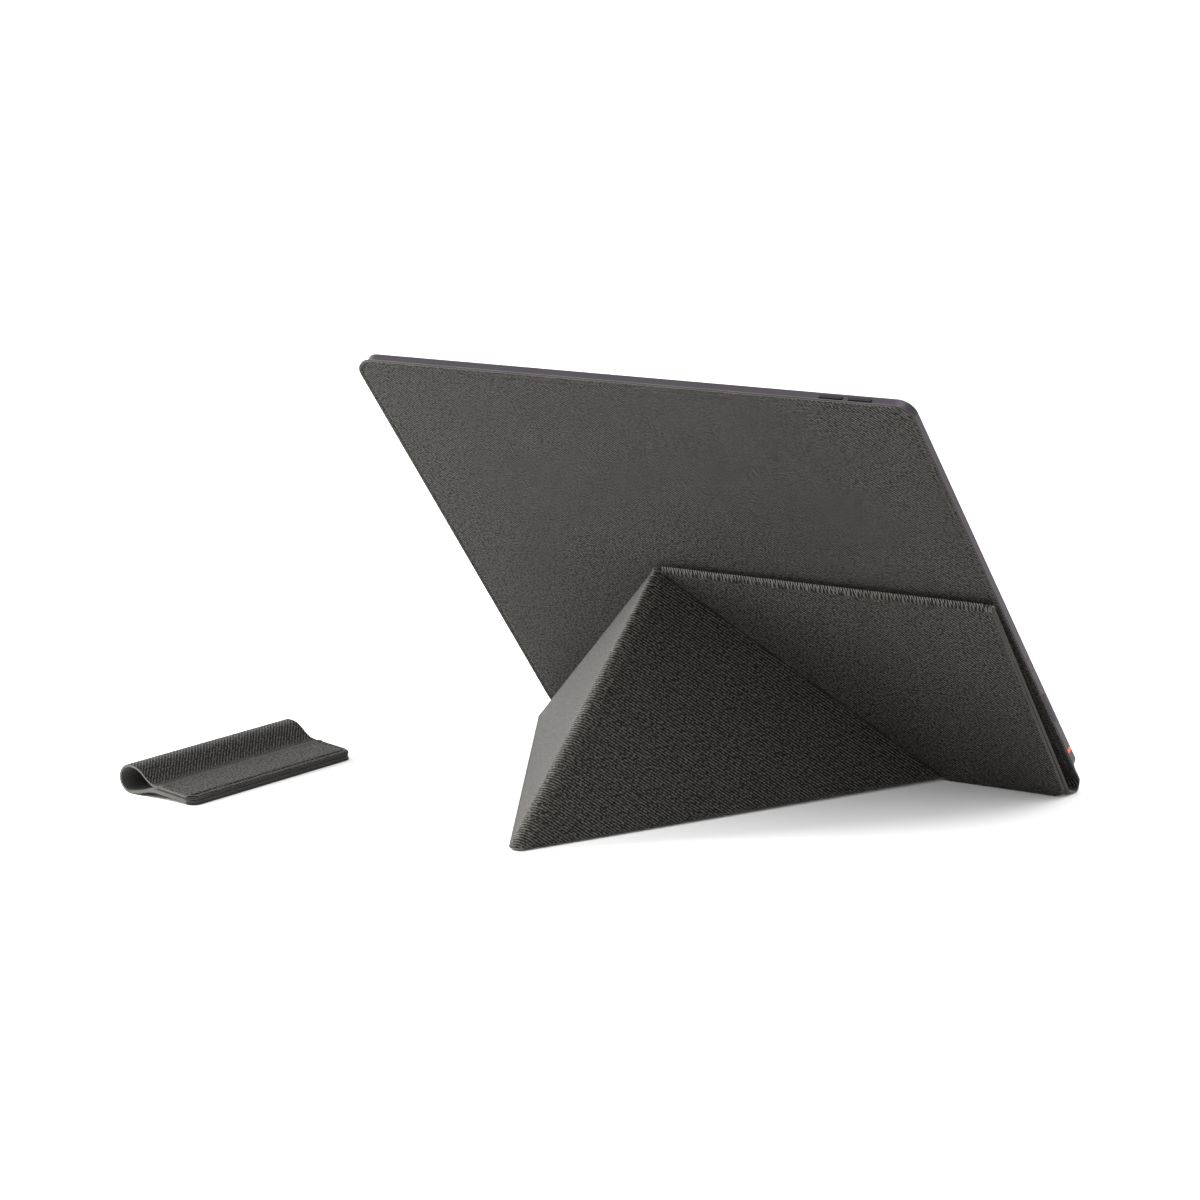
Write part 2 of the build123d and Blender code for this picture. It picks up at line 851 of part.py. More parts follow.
def pen_loop_sleeve():
    """Rolled sleeve for the pen, running on into the lower flap."""
    top, upper = 2 * loop_radius, loop_flap + loop_flap_gap
    slope = (loop_reach - loop_pinch, -loop_pinch_height)
    end = loop_pinch - loop_hinge_gap
    low_a, low_b = flap_line(0)
    high_a, high_b = flap_line(loop_flap)
    outline = Curve() + [
        *tangent_bend((loop_radius, top), (1, 0), (end, pinch_height(upper + loop_wall)), slope),
        Line((end, pinch_height(upper + loop_wall)), (end, pinch_height(upper))),
        *tangent_bend((loop_radius, top - loop_wall), (1, 0), (end, pinch_height(upper)), slope),
        ThreePointArc(
            (loop_radius, top - loop_wall), (loop_wall, loop_radius), (loop_radius, loop_wall)
        ),
        *tangent_bend((loop_radius, loop_wall), (1, 0), high_a, slope),
        Line(high_a, high_b),
        Line(high_b, low_b),
        Line(low_b, low_a),
        *tangent_bend((loop_radius, 0), (1, 0), low_a, slope),
        ThreePointArc((loop_radius, 0), (0, loop_radius), (loop_radius, top)),
    ]
    sleeve = extrude_profile(make_face(outline))
    return round_flap(sleeve) - plate(0, plate_gap)


def pinch_height(level):
    return loop_pinch_height + level


def round_flap(solid):
    upright = solid.edges().filter_by(Axis.Z).group_by(Axis.X)[-1]
    return fillet(upright, loop_corner)


def plate(level, gap):
    """A thin plate inside a flap, following its slope, or with a gap round it, its pocket."""
    (x0, z0), (x1, z1) = flap_line(level + loop_flap / 2)
    slope = degrees(atan2(z0 - z1, x1 - x0))
    share = 0.55
    middle = Pos(x0 + (x1 - x0) * share, 0, z0 + (z1 - z0) * share) * Rot(0, slope, 0)
    length = loop_length - 2 * plate_end_gap
    return middle * Box(plate_width + 2 * gap, length + 2 * gap, plate_thickness + gap)


def pen_loop_flap():
    """Upper flap, which lifts about the pinch."""
    upper = loop_flap + loop_flap_gap
    low_a, low_b = flap_line(upper)
    high_a, high_b = flap_line(upper + loop_flap)
    flap = extrude_profile(make_face(Polyline(low_a, low_b, high_b, high_a, close=True)))
    return round_flap(flap) - plate(upper, plate_gap)


loop_location = Pos(loop_place[0], loop_place[1], 0) * Rot(0, 0, loop_turn)

tablet_pieces = {
    "rear_housing": rear_housing(),
    "cover_glass": cover_glass(),
    "touch_sensor": touch_sensor(),
    "front_light_guide": display_layer(guide_back, guide_thickness, 0.0),
    "front_light_strip": front_light_strip(),
    "e_paper_panel": display_layer(paper_back, paper_thickness, 0.0),
    "pen_digitiser": display_layer(digitiser_back, digitiser_thickness, 0.0),
    "grip_spacer": grip_spacer(),
    "mid_frame": mid_frame(),
    "frame_screws": frame_screws(),
    "main_board": main_board(),
    "shield_cans": shield_cans(),
    "usb_c_port": usb_c_port(),
    "battery_cells": battery_cells(),
    "battery_flex": battery_flex(),
    "display_flex": display_flex(),
    "speakers": speakers(),
    "microphones": microphone_capsules(),
    "key_switches": key_switches(),
    "key_flex": key_flex(),
    "antenna_flex": antenna_flex(),
    "tablet_magnets": tablet_magnets(),
    "accent_strip": accent_strip(),
    "power_button": power_button(),
    "volume_up_button": volume_button(0),
    "volume_down_button": volume_button(1),
}
cover_pieces = {
    "back_panel_lining": back_panel_lining(),
    "back_panel_core": back_panel_core(),
    "back_panel_magnets": back_panel_magnets(),
    "back_panel_twill": back_panel_twill(),
    "spine_upper_strip": spine_strip(spine_top, spine_bend),
    "spine_lower_strip": spine_strip(spine_bend, spine_end),
    "midline_crease": midline_crease(),
    "ridge_crease": ridge_crease(),
    "side_crease": side_crease(),
    "front_crease": front_crease(),
}
for panel, place in panel_places.items():
    cover_pieces[panel + "_panel_twill"] = place * panel_layer(panel, outer_face, twill_thickness)
    cover_pieces[panel + "_panel_core"] = place * panel_core(panel)
    cover_pieces[panel + "_panel_lining"] = place * panel_layer(panel, core_face, lining_thickness)
for panel in ("inner", "outer"):
    cover_pieces[panel + "_panel_magnets"] = panel_places[panel] * lid_magnets(panel)

standing = {name: lean_back * piece for name, piece in (tablet_pieces | cover_pieces).items()}
raised = Pos(0, 0, -group(standing.values()).bounding_box().min.Z)
standing = {name: raised * piece for name, piece in standing.items()}
loop_pieces = {
    "pen_loop_sleeve": pen_loop_sleeve(),
    "pen_loop_flap": pen_loop_flap(),
    "pen_loop_lower_plate": plate(0, 0),
    "pen_loop_upper_plate": plate(loop_flap + loop_flap_gap, 0),
}
standing |= {name: loop_location * piece for name, piece in loop_pieces.items()}
whole = group(standing.values()).bounding_box()
centring = Pos(-whole.center().X, -whole.center().Y, 0)

# Hinge lines in the finished frame, and the turns from the tent to the lid closed over the screen

tablet_location = centring * raised * lean_back
closed_bend = spine_corner(closed_end)
upper_turn = heading(closed_bend - spine_top) - heading(spine_bend - spine_top)
lower_heading = heading(spine_end - spine_bend)
lid_swing = 360 + lid_lean
lower_turn = (heading(closed_end - closed_bend) - lower_heading) % 360 - upper_turn
edge_turn = lid_swing - lower_turn - upper_turn


def main():
    os.makedirs("parts", exist_ok=True)
    for name, piece in standing.items():
        export_step(centring * piece, f"parts/{name}.step")
    print("lean", round(lean, 3), "size", whole.size)
    print("folds", round(midline_turn, 3), round(side_turn, 3), round(front_turn, 3))
    print("spine turns", round(upper_turn, 3), round(lower_turn, 3), round(edge_turn, 3))


main()
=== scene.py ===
# %% [markdown]
# # An e-ink tablet that stands on its own folding cover
# The tablet leans back on a cover whose lid has been swung round behind it and folded into a tent. A
# magnetic pen loop lies beside it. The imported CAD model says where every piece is; this script gives
# the pieces their cloth, metal and glass.

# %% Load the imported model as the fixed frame
import json
import math

import bmesh
import bpy
from mathutils import Matrix, Vector


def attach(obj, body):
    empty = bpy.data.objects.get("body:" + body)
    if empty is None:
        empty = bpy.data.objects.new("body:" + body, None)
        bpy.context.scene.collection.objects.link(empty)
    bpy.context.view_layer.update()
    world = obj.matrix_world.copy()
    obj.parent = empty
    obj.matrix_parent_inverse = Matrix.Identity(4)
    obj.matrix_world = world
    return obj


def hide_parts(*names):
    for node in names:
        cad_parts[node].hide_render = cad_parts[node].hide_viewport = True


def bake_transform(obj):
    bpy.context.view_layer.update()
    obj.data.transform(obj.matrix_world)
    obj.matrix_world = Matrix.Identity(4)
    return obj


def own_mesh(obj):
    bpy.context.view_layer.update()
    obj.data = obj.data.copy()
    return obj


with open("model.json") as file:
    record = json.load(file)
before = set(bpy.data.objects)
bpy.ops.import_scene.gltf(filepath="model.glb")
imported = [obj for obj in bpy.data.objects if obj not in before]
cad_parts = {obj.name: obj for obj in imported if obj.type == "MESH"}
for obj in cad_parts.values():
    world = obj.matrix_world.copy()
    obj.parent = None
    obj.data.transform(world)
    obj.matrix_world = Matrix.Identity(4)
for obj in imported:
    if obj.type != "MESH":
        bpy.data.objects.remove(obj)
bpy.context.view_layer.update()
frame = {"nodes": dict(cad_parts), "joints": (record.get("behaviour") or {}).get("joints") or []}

# %% [markdown]
# ## Where the folds are
# The lid is one flat sandwich of cloth, board and lining, creased along four lines that meet in one
# point. Each panel gets its own axes, with x and y in the panel as it lies in the flat lid and z out
# of its lining. They could be typed in, but the joints already hold them: turning back each fold by
# its full range takes the inner panel's axes to its neighbour's.

# %% Hinge lines and panel axes
MM = 0.001
joints = {joint["name"]: joint for joint in frame["joints"]}
RIGHT = Vector((1, 0, 0))
LID_PANELS = ("inner", "outer", "front", "side")


def hinge_point(name):
    return Vector(joints[name]["pos_m"])


def hinge_axis(name):
    return Vector(joints[name]["axis"]).normalized()


def unfold(name):
    """The turn from a panel's open place back to its folded place at rest."""
    return Matrix.Rotation(-math.radians(joints[name]["range_deg"][1]), 3, hinge_axis(name))


def axes(x, y, z):
    """Three directions as the columns of a matrix."""
    return Matrix((x, y, z)).transposed()


apex = hinge_point("midline_fold")
side_crease_line = hinge_axis("side_fold")
up_lid = -(side_crease_line - RIGHT * RIGHT.dot(side_crease_line)).normalized()
panel_axes = {"inner": axes(RIGHT, up_lid, RIGHT.cross(up_lid))}
panel_axes["outer"] = unfold("midline_fold") @ panel_axes["inner"]
panel_axes["side"] = unfold("side_fold") @ panel_axes["inner"]
panel_axes["front"] = unfold("front_fold") @ panel_axes["outer"]

down_tablet = hinge_axis("cover_slide")
out_of_back = RIGHT.cross(-down_tablet)
panel_axes["back"] = axes(RIGHT, down_tablet, -out_of_back)
print("tablet leans", round(math.degrees(math.atan2(down_tablet.y, -down_tablet.z)), 2), "degrees")

# %% [markdown]
# ## Small helpers
# Every soft piece is a mesh written out in millimetres in its panel's flat axes. The same flat
# coordinates become its weave map, so the threads run on from one panel over a crease to the next,
# as they do in a real cover cut from one piece of cloth.

# %% From flat millimetres to the frame, and back


def on_panel(panel, x, y, z):
    return apex + panel_axes[panel] @ Vector((x, y, z)) * MM


def flat_points(node, panel):
    """A CAD node's points in the flat axes of its panel, in millimetres."""
    inverse = panel_axes[panel].transposed()
    return [inverse @ (v.co - apex) / MM for v in frame["nodes"][node].data.vertices]


SHORTEST_SIDE = 0.3
LEAST_TURN = 1e-3  # a corner that turns less than this lies on a straight side
SHARP_ANGLE = math.radians(38)


def hull(points):
    """The corners round a set of flat points, counter-clockwise, without the ends of tiny sides."""
    rounded = sorted({(round(p[0], 3), round(p[1], 3)) for p in points})
    chains = []
    for ordered in (rounded, rounded[::-1]):
        chain = []
        for p in ordered:
            while len(chain) > 1:
                a, b = chain[-2], chain[-1]
                if (b[0] - a[0]) * (p[1] - b[1]) - (b[1] - a[1]) * (p[0] - b[0]) > LEAST_TURN:
                    break
                chain.pop()
            chain.append(p)
        chains.append(chain[:-1])
    outline = [Vector(p) for p in chains[0] + chains[1]]
    return [p for i, p in enumerate(outline) if (p - outline[i - 1]).length > SHORTEST_SIDE]


def placed(name, data):
    """A new object with this data, put in the scene."""
    thing = bpy.data.objects.new(name, data)
    bpy.context.scene.collection.objects.link(thing)
    return thing


def swept_faces(spans, half, side_finishes, cap):
    """The faces of a swept section, each with its finish.

    Half of the section's corners lie on its outer line, and the other half run back along its inner
    line. Its sides are the outer line, the narrow far side, the inner line and the narrow near side.
    """
    outer, far, inner, near = side_finishes
    kinds = [outer] * (half - 1) + [far] + [inner] * (half - 1) + [near]
    count = 2 * half
    faces = []
    for low in range(0, spans * count, count):
        for i, kind in enumerate(kinds):
            j = (i + 1) % count
            faces.append(((low + i, low + j, low + count + j, low + count + i), kind))
    for base in (0, spans * count):
        for i in range(half - 1):
            k = count - 1 - i
            faces.append(((base + i, base + i + 1, base + k - 1, base + k), cap))
    return faces


def build(name, points, faces, weave, finishes):
    """A closed piece from points in metres: each face comes with the index of its finish."""
    mesh = bpy.data.meshes.new(name)
    mesh.from_pydata(points, [], [corners for corners, _ in faces])
    for finish in finishes:
        mesh.materials.append(finish)
    mesh.polygons.foreach_set("material_index", [finish for _, finish in faces])
    layer = mesh.uv_layers.new(name="weave_mm")
    for loop in mesh.loops:
        layer.data[loop.index].uv = weave[loop.vertex_index]
    work = bmesh.new()
    work.from_mesh(mesh)
    bmesh.ops.recalc_face_normals(work, faces=work.faces)
    work.to_mesh(mesh)
    work.free()
    mesh.shade_smooth()
    mesh.set_sharp_from_angle(angle=SHARP_ANGLE)
    return placed(name, mesh)


# %% [markdown]
# ## Finishes
# A material starts from what the real surface is. One function begins a material with its shader,
# and one adds a node with its settings and links. Colours are written as sRGB hex values, the way a
# picker shows them, and turned to linear light once.

# %% Material helpers


def linear(hex_colour):
    channels = [int(hex_colour[i : i + 2], 16) / 255 for i in (0, 2, 4)]
    return tuple(c / 12.92 if c <= 0.04045 else ((c + 0.055) / 1.055) ** 2.4 for c in channels) + (1.0,)


def add(tree, kind, inputs={}, **settings):
    """Adds a node: its settings by name, and its inputs by name or number, each a value or a link."""
    made = tree.nodes.new(kind)
    for name, value in settings.items():
        setattr(made, name, value)
    for name, value in inputs.items():
        if isinstance(value, bpy.types.NodeSocket):
            tree.links.new(value, made.inputs[name])
        else:
            made.inputs[name].default_value = value
    return made


def begin(name, inputs):
    """A new material with its main shader, and what it needs to go on."""
    material = bpy.data.materials.new(name)
    material.use_nodes = True
    tree = material.node_tree
    tree.nodes.clear()
    shader = add(tree, "ShaderNodeBsdfPrincipled", inputs)
    add(tree, "ShaderNodeOutputMaterial", {"Surface": shader.outputs[0]})
    return material, tree, shader


def object_place(tree):
    return add(tree, "ShaderNodeTexCoord").outputs["Object"]


def noise(tree, place, scale, detail, roughness=0.5):
    inputs = {"Vector": place, "Scale": scale, "Detail": detail, "Roughness": roughness}
    return add(tree, "ShaderNodeTexNoise", inputs).outputs["Fac"]


def maths(tree, operation, first, second=0.0):
    return add(tree, "ShaderNodeMath", {0: first, 1: second}, operation=operation).outputs[0]


def colour_ramp(tree, value, first, last, *between):
    """Turns a value into a colour; each stop is a place from 0 to 1 and a hex colour."""
    ramp = add(tree, "ShaderNodeValToRGB", {"Fac": value})
    stops = ramp.color_ramp.elements
    for i, (position, colour) in enumerate((first, last)):
        stops[i].position, stops[i].color = position, linear(colour)
    for position, colour in between:
        stops.new(position).color = linear(colour)
    return ramp.outputs[0]


def roughen(tree, shader, height, strength, depth):
    """Gives a shader fine relief, with its depth in metres."""
    bump = add(tree, "ShaderNodeBump", {"Height": height, "Strength": strength, "Distance": depth})
    tree.links.new(bump.outputs[0], shader.inputs["Normal"])


# %% [markdown]
# ### Woven polyester twill
# The cover's outside is a fine twill: yarns that float over two neighbours and step sideways each
# row, which gives slanting ribs and a dry, slightly shiny nap. The real ribs are about 0.5 mm apart;
# they are drawn 1.4 mm apart, because finer ones would vanish in the picture.

# %% Twill
RIB = 1.4
SPECKLE = 0.77  # how much of the relief is single yarns and not ribs
DIAGONAL_WAVE = 0.444  # a diagonal wave texture of scale 1 repeats every 0.444 units
YARN_NOISE, CLOUD_NOISE = 0.85, 0.045  # noise scales, for each millimetre of cloth
TWILL_DEPTH = 0.00012


def twill_cloth(name, shadow, yarn, glint, sheen):
    material, tree, shader = begin(
        name,
        {
            "Roughness": 0.85,
            "IOR": 1.5,
            "Specular IOR Level": 0.2,
            "Sheen Weight": sheen,
            "Sheen Roughness": 0.45,
        },
    )
    flat = add(tree, "ShaderNodeUVMap", uv_map="weave_mm").outputs[0]
    weave = add(tree, "ShaderNodeMapping", {"Vector": flat, "Scale": (1, -1, 1)}).outputs[0]
    wave = {"Vector": weave, "Scale": DIAGONAL_WAVE / RIB, "Distortion": 2.2, "Detail": 2.0}
    wave["Detail Scale"] = 2.2
    ribs = add(tree, "ShaderNodeTexWave", wave, bands_direction="DIAGONAL").outputs["Fac"]
    yarns = noise(tree, weave, YARN_NOISE, 2.0, 0.7)
    clouds = noise(tree, weave, CLOUD_NOISE, 3.0, 0.6)
    relief = add(tree, "ShaderNodeMix", {0: SPECKLE, 2: ribs, 3: yarns}, data_type="FLOAT").outputs[0]
    colour = colour_ramp(tree, relief, (0.43, shadow), (0.59, glint), (0.5, yarn))
    patch = add(
        tree,
        "ShaderNodeMapRange",
        {"Value": clouds, "From Min": 0.3, "From Max": 0.7, "To Min": 0.94, "To Max": 1.06},
    )
    shade = add(
        tree,
        "ShaderNodeMix",
        {0: 1.0, 6: colour, 7: patch.outputs[0]},
        data_type="RGBA",
        blend_type="MULTIPLY",
    )
    tree.links.new(shade.outputs[2], shader.inputs["Base Color"])
    roughen(tree, shader, relief, 0.8, TWILL_DEPTH)
    return material


twill = twill_cloth("twill_polyester_woven", "050505", "131211", "494744", 0.03)
# The ridge's twill is the same cloth painted lighter: a painted highlight for the light the rounded ridge
# catches.
ridge_twill_painted_lighter = twill_cloth("twill_painted_lighter_for_ridge", "0b0b0a", "1d1c1a", "54514d", 0.04)
print("twill ribs drawn", RIB, "mm apart")

# %% [markdown]
# ### Brushed microfibre, fibre board and the cut edge
# The lining that lies on the screen is a short brushed nap: no ribs, only soft clouds where the nap
# has been stroked. Between cloth and lining lies a stiff grey fibre board. Where the sandwich is cut
# its edge shows paler than both faces, with a little fluff.

# %% Lining, board and cut edge
NAP = 0.6
STROKED = 0.45  # how much of the pattern is the nap's stroking
STROKE_NOISE = 40.0


def soft_nap(name, low, high, sheen):
    material, tree, shader = begin(
        name,
        {
            "Roughness": 0.95,
            "IOR": 1.46,
            "Specular IOR Level": 0.25,
            "Sheen Weight": sheen,
            "Sheen Roughness": 0.6,
        },
    )
    place = object_place(tree)
    nap = noise(tree, place, 1 / (NAP * MM), 4.0, 0.7)
    stroke = noise(tree, place, STROKE_NOISE, 2.0)
    mixed = add(tree, "ShaderNodeMix", {0: STROKED, 2: nap, 3: stroke}, data_type="FLOAT").outputs[0]
    colour = colour_ramp(tree, mixed, (0.3, low), (0.7, high))
    tree.links.new(colour, shader.inputs["Base Color"])
    roughen(tree, shader, nap, 0.35, 0.0001)
    return material


lining = soft_nap("microfibre_brushed", "2b2a29", "3b3938", 0.15)
cut_edge = soft_nap("sandwich_cut_edge", "45423f", "63605c", 0.03)
board = soft_nap("fibre_board_pressed", "2b2928", "3a3836", 0.0)
print("nap drawn", NAP, "mm")

# %% [markdown]
# ### Bead-blasted, anodised aluminium
# The housing is milled, blasted with fine glass beads and anodised. The beads leave dimples a tenth
# of a millimetre wide, so highlights are broad and soft; the dye makes it a dark, slightly violet
# grey. A metal needs no colour pattern: the grain is in its bump, and in small shifts of roughness.

# %% Metals
WEAR_NOISE = 25.0
WEAR = 0.05  # how far the roughness strays on either side


def metal(name, colour, roughness, grain, depth):
    material, tree, shader = begin(name, {"Base Color": linear(colour), "Metallic": 1.0})
    place = object_place(tree)
    wear = noise(tree, place, WEAR_NOISE, 3.0)
    gloss = add(
        tree,
        "ShaderNodeMapRange",
        {"Value": wear, "To Min": roughness - WEAR, "To Max": roughness + WEAR},
    )
    tree.links.new(gloss.outputs[0], shader.inputs["Roughness"])
    roughen(tree, shader, noise(tree, place, 1 / (grain * MM), 2.0), 0.3, depth)
    return material


aluminium = metal("aluminium_blasted_anodised", "484349", 0.42, 0.4, 0.00003)
button_metal = metal("aluminium_button_anodised_darker", "353136", 0.45, 0.4, 0.00003)
steel = metal("steel_zinc_plated", "b9b9ba", 0.3, 0.3, 0.00002)
magnesium = metal("magnesium_black_coated", "3a3b3d", 0.5, 0.5, 0.00003)
nickel = metal("magnet_nickel_plated", "c9c7c0", 0.18, 0.8, 0.00001)
foil = metal("pouch_foil_satin", "a3a3a6", 0.38, 2.0, 0.00008)

# %% [markdown]
# ### Moulded plastics, films, board and paper
# The rest is coloured all through: an orange anodised insert, black moulded plastic, amber film,
# green solder mask, and the e-paper's chalky grey-white capsules behind clear, etched glass. One
# function gives them a fine grain and a slight unevenness of colour at the size of their texture.

# %% Plastics and paper


def moulded(name, low, high, grain, inputs):
    material, tree, shader = begin(name, inputs)
    place = object_place(tree)
    grains = noise(tree, place, 1 / (grain * MM), 3.0)
    colour = colour_ramp(tree, grains, (0.35, low), (0.65, high))
    tree.links.new(colour, shader.inputs["Base Color"])
    roughen(tree, shader, grains, 0.15, 0.00003)
    return material


orange = moulded("aluminium_orange_anodised", "e04a1c", "f05a2a", 0.5, {"Metallic": 0.3, "Roughness": 0.4})
black_plastic = moulded("abs_black_moulded", "0d0d0e", "151516", 0.4, {"Roughness": 0.5, "IOR": 1.53})
amber_film = moulded("polyimide_amber_film", "a85f14", "bd6f1e", 3.0, {"Roughness": 0.25, "IOR": 1.7})
solder_mask = moulded("circuit_board_solder_mask", "10281b", "1c3d2a", 1.5, {"Roughness": 0.3, "IOR": 1.55})
paper = moulded("e_paper_capsules", "c2c2bd", "cdcdc8", 0.2, {"Roughness": 0.9, "IOR": 1.45})

# %% [markdown]
# ### Etched cover glass with its printed border
# The glass has a dark printed border round the display, wider along the grip. The border could be a
# piece of its own, but it is only ink: the material finds the distance from the tablet's middle and
# is dark and opaque outside the window, clear inside it.

# %% Cover glass
GLASS_TINT, BORDER_INK = "e8eceb", "1d1c1e"
GLASS_OPACITY = 0.06
ETCH_NOISE, ETCH_DEPTH = 3000.0, 0.00002
INK_EDGE = (-0.0012, -0.001)  # the ink laps over the display's rim, in metres


def clear_sheet(name, opacity, roughness):
    material, tree, shader = begin(
        name, {"Base Color": linear(GLASS_TINT), "Roughness": roughness, "IOR": 1.5, "Alpha": opacity}
    )
    place = object_place(tree)
    roughen(tree, shader, noise(tree, place, ETCH_NOISE, 2.0), 0.1, ETCH_DEPTH)
    return material, tree, shader


def window_distance(tree, direction, low, high):
    """How far a point is outside the range between two places along a direction, in metres."""
    place = object_place(tree)
    along = add(tree, "ShaderNodeVectorMath", {0: place, 1: direction}, operation="DOT_PRODUCT")
    offset = maths(tree, "SUBTRACT", along.outputs["Value"], (low + high) / 2)
    return maths(tree, "SUBTRACT", maths(tree, "ABSOLUTE", offset), (high - low) / 2)


def span_along(node, direction):
    """The lowest and highest place of a node's points along a direction."""
    values = [v.co.dot(direction) for v in frame["nodes"][node].data.vertices]
    return min(values), max(values)


def printed_glass():
    material, tree, shader = clear_sheet("glass_etched_printed_border", GLASS_OPACITY, 0.22)
    distances = [
        window_distance(tree, direction, *span_along("e_paper_panel", direction))
        for direction in (RIGHT, -down_tablet)
    ]
    edge = {"From Min": INK_EDGE[0], "From Max": INK_EDGE[1], "To Min": GLASS_OPACITY, "To Max": 1.0}
    edge["Value"] = maths(tree, "MAXIMUM", *distances)
    ink = add(tree, "ShaderNodeMapRange", edge).outputs[0]
    tree.links.new(ink, shader.inputs["Alpha"])
    colours = {0: ink, 6: linear(GLASS_TINT), 7: linear(BORDER_INK)}
    colour = add(tree, "ShaderNodeMix", colours, data_type="RGBA")
    tree.links.new(colour.outputs[2], shader.inputs["Base Color"])
    return material


glass = printed_glass()
clear_film = clear_sheet("optical_film_clear", 0.03, 0.1)[0]

# %% [markdown]
# ## Finishes on the CAD pieces that stay
# Rigid pieces keep their CAD mesh. Each gets the finish of what it is made of.

# %% Dress the rigid nodes
finish_of = {
    aluminium: ["rear_housing"],
    button_metal: ["power_button", "volume_up_button", "volume_down_button"],
    orange: ["accent_strip"],
    glass: ["cover_glass"],
    clear_film: ["touch_sensor", "front_light_guide"],
    paper: ["e_paper_panel"],
    solder_mask: ["main_board", "pen_digitiser"],
    magnesium: ["mid_frame"],
    steel: ["frame_screws", "shield_cans", "usb_c_port", "pen_loop_lower_plate", "pen_loop_upper_plate"],
    foil: ["battery_cells"],
    amber_film: ["battery_flex", "display_flex", "key_flex", "antenna_flex", "front_light_strip"],
    black_plastic: ["grip_spacer", "speakers", "microphones", "key_switches"],
    nickel: ["tablet_magnets", "back_panel_magnets", "inner_panel_magnets", "outer_panel_magnets"],
    board: [panel + "_panel_core" for panel in ("back", *LID_PANELS)],
}
for finish, names in finish_of.items():
    for name in names:
        for place in frame["nodes"][name].material_slots:
            place.material = finish
print("dressed", sum(len(names) for names in finish_of.values()), "rigid nodes")

# %% [markdown]
# ## The cover's panels
# On the real cover each panel is a stiff board with twill glued on one side and lining on the other.
# Heat pressing leaves a shallow channel two millimetres inside every free edge and eases the edge
# itself. Where a panel meets a crease the cloth simply runs on. Each sheet is built as rings: the
# outline of its CAD solid, moved inwards step by step while its height follows the pressed profile.

# %% Pressed sheets
PRESSED = [  # distance in from a free edge and height over the face, in millimetres
    (0.0, -0.5), (0.0, -0.3), (0.06, -0.14), (0.2, -0.04), (0.45, 0.0), (1.75, 0.0), (1.95, -0.06),
    (2.15, -0.16), (2.4, -0.19), (2.65, -0.16), (2.9, -0.07), (3.3, -0.02), (4.2, 0.0),
]
EASED = [(0.0, -0.4), (0.0, -0.2), (0.08, -0.07), (0.25, 0.0)]
CREASE_REACH = 6.0
CREASE_SHARE = 0.002  # on a side that meets a crease the profile is only this share as wide


def moved_in(corners, distances):
    """A convex outline with each side moved in by its own distance."""
    lines = []
    for i, distance in enumerate(distances):
        a, b = corners[i], corners[(i + 1) % len(corners)]
        along = (b - a).normalized()
        shift = Vector((-along.y, along.x)) * distance
        lines.append((a + shift, along))
    points = []
    for i in range(len(corners)):
        (p, d), (q, e) = lines[i - 1], lines[i]
        step = ((q.x - p.x) * e.y - (q.y - p.y) * e.x) / (d.x * e.y - d.y * e.x)
        points.append(p + d * step)
    return points


def is_free(a, b, panel):
    """Whether a side of a panel is part of the cover's own edge, and not a crease or the spine."""
    if panel == "back":
        return True
    along = (b - a).normalized()
    from_apex = abs(along.x * a.y - along.y * a.x)
    on_spine = abs(along.y) < 0.01 and a.y < -CREASE_REACH
    return from_apex > CREASE_REACH and not on_spine


def pressed_sheet(name, panel, node, outwards, profile, finishes):
    """A sheet of a panel, from its CAD outline; outwards is the sign of z on its visible face."""
    points = flat_points(node, panel)
    levels = [p.z * outwards for p in points]
    corners = hull(points)
    free = [is_free(a, b, panel) for a, b in zip(corners, corners[1:] + corners[:1])]
    thickness = max(levels) - min(levels)
    count = len(corners)
    made, weave, faces = [], [], []
    for distance, height in profile:
        ring = moved_in(corners, [distance if side else distance * CREASE_SHARE for side in free])
        level = max(levels) + height * thickness / -profile[0][1]
        made += [on_panel(panel, p.x, p.y, level * outwards) for p in ring]
        weave += [tuple(p) for p in ring]
    for ring in range(len(profile) - 1):
        for i in range(count):
            j = (i + 1) % count
            low, high = ring * count, (ring + 1) * count
            faces.append(((low + i, low + j, high + j, high + i), 1 if ring == 0 else 0))
    faces.append((tuple(range(count))[::-1], 1))
    faces.append((tuple(range((len(profile) - 1) * count, len(profile) * count)), 0))
    return build(name, made, faces, weave, finishes)


for panel in ("back", *LID_PANELS):
    cloth_node, lining_node = panel + "_panel_twill", panel + "_panel_lining"
    cloth = pressed_sheet(panel + "_cloth", panel, cloth_node, -1, PRESSED, [twill, cut_edge])
    nap = pressed_sheet(panel + "_lining", panel, lining_node, 1, EASED, [lining, cut_edge])
    for piece, node, slot in ((cloth, cloth_node, "cover_twill"), (nap, lining_node, "cover_lining")):
        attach(piece, panel + "_panel")
        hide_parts(node)
    print(panel, "cloth", len(cloth.data.polygons), "faces, lining", len(nap.data.polygons))

# %% [markdown]
# ## The creases
# Between two boards the cloth and lining run on alone and bend. At the top of the tent they turn
# right over; at the dark triangle they turn into a valley; along the front ridge they round a soft
# corner about eight millimetres wide. A crease is an arc swept along its line, tangent to the faces
# of both panels, built where it lies at rest and fixed there; it does not open with the fold.

# %% Swept creases
TWILL_LEVEL = -1.85
LINING_LEVEL = -0.15
OVERLAP = 0.7
PROUD = 0.02
ARC_STEPS = 14
LENGTH_STEPS = 48
CLOSE_AT_APEX = 1.6  # rows stand closer together near the apex
NOMINAL_LENGTH = 200.0
TIGHT = 0.12
WING_SPREAD = 0.55
LEAST_WING = 0.1
APEX_START = 0.4


def turn_between(start, end, axis):
    """The signed angle about an axis from one direction to another."""
    return math.atan2(axis.dot(start.cross(end)), start.dot(end))


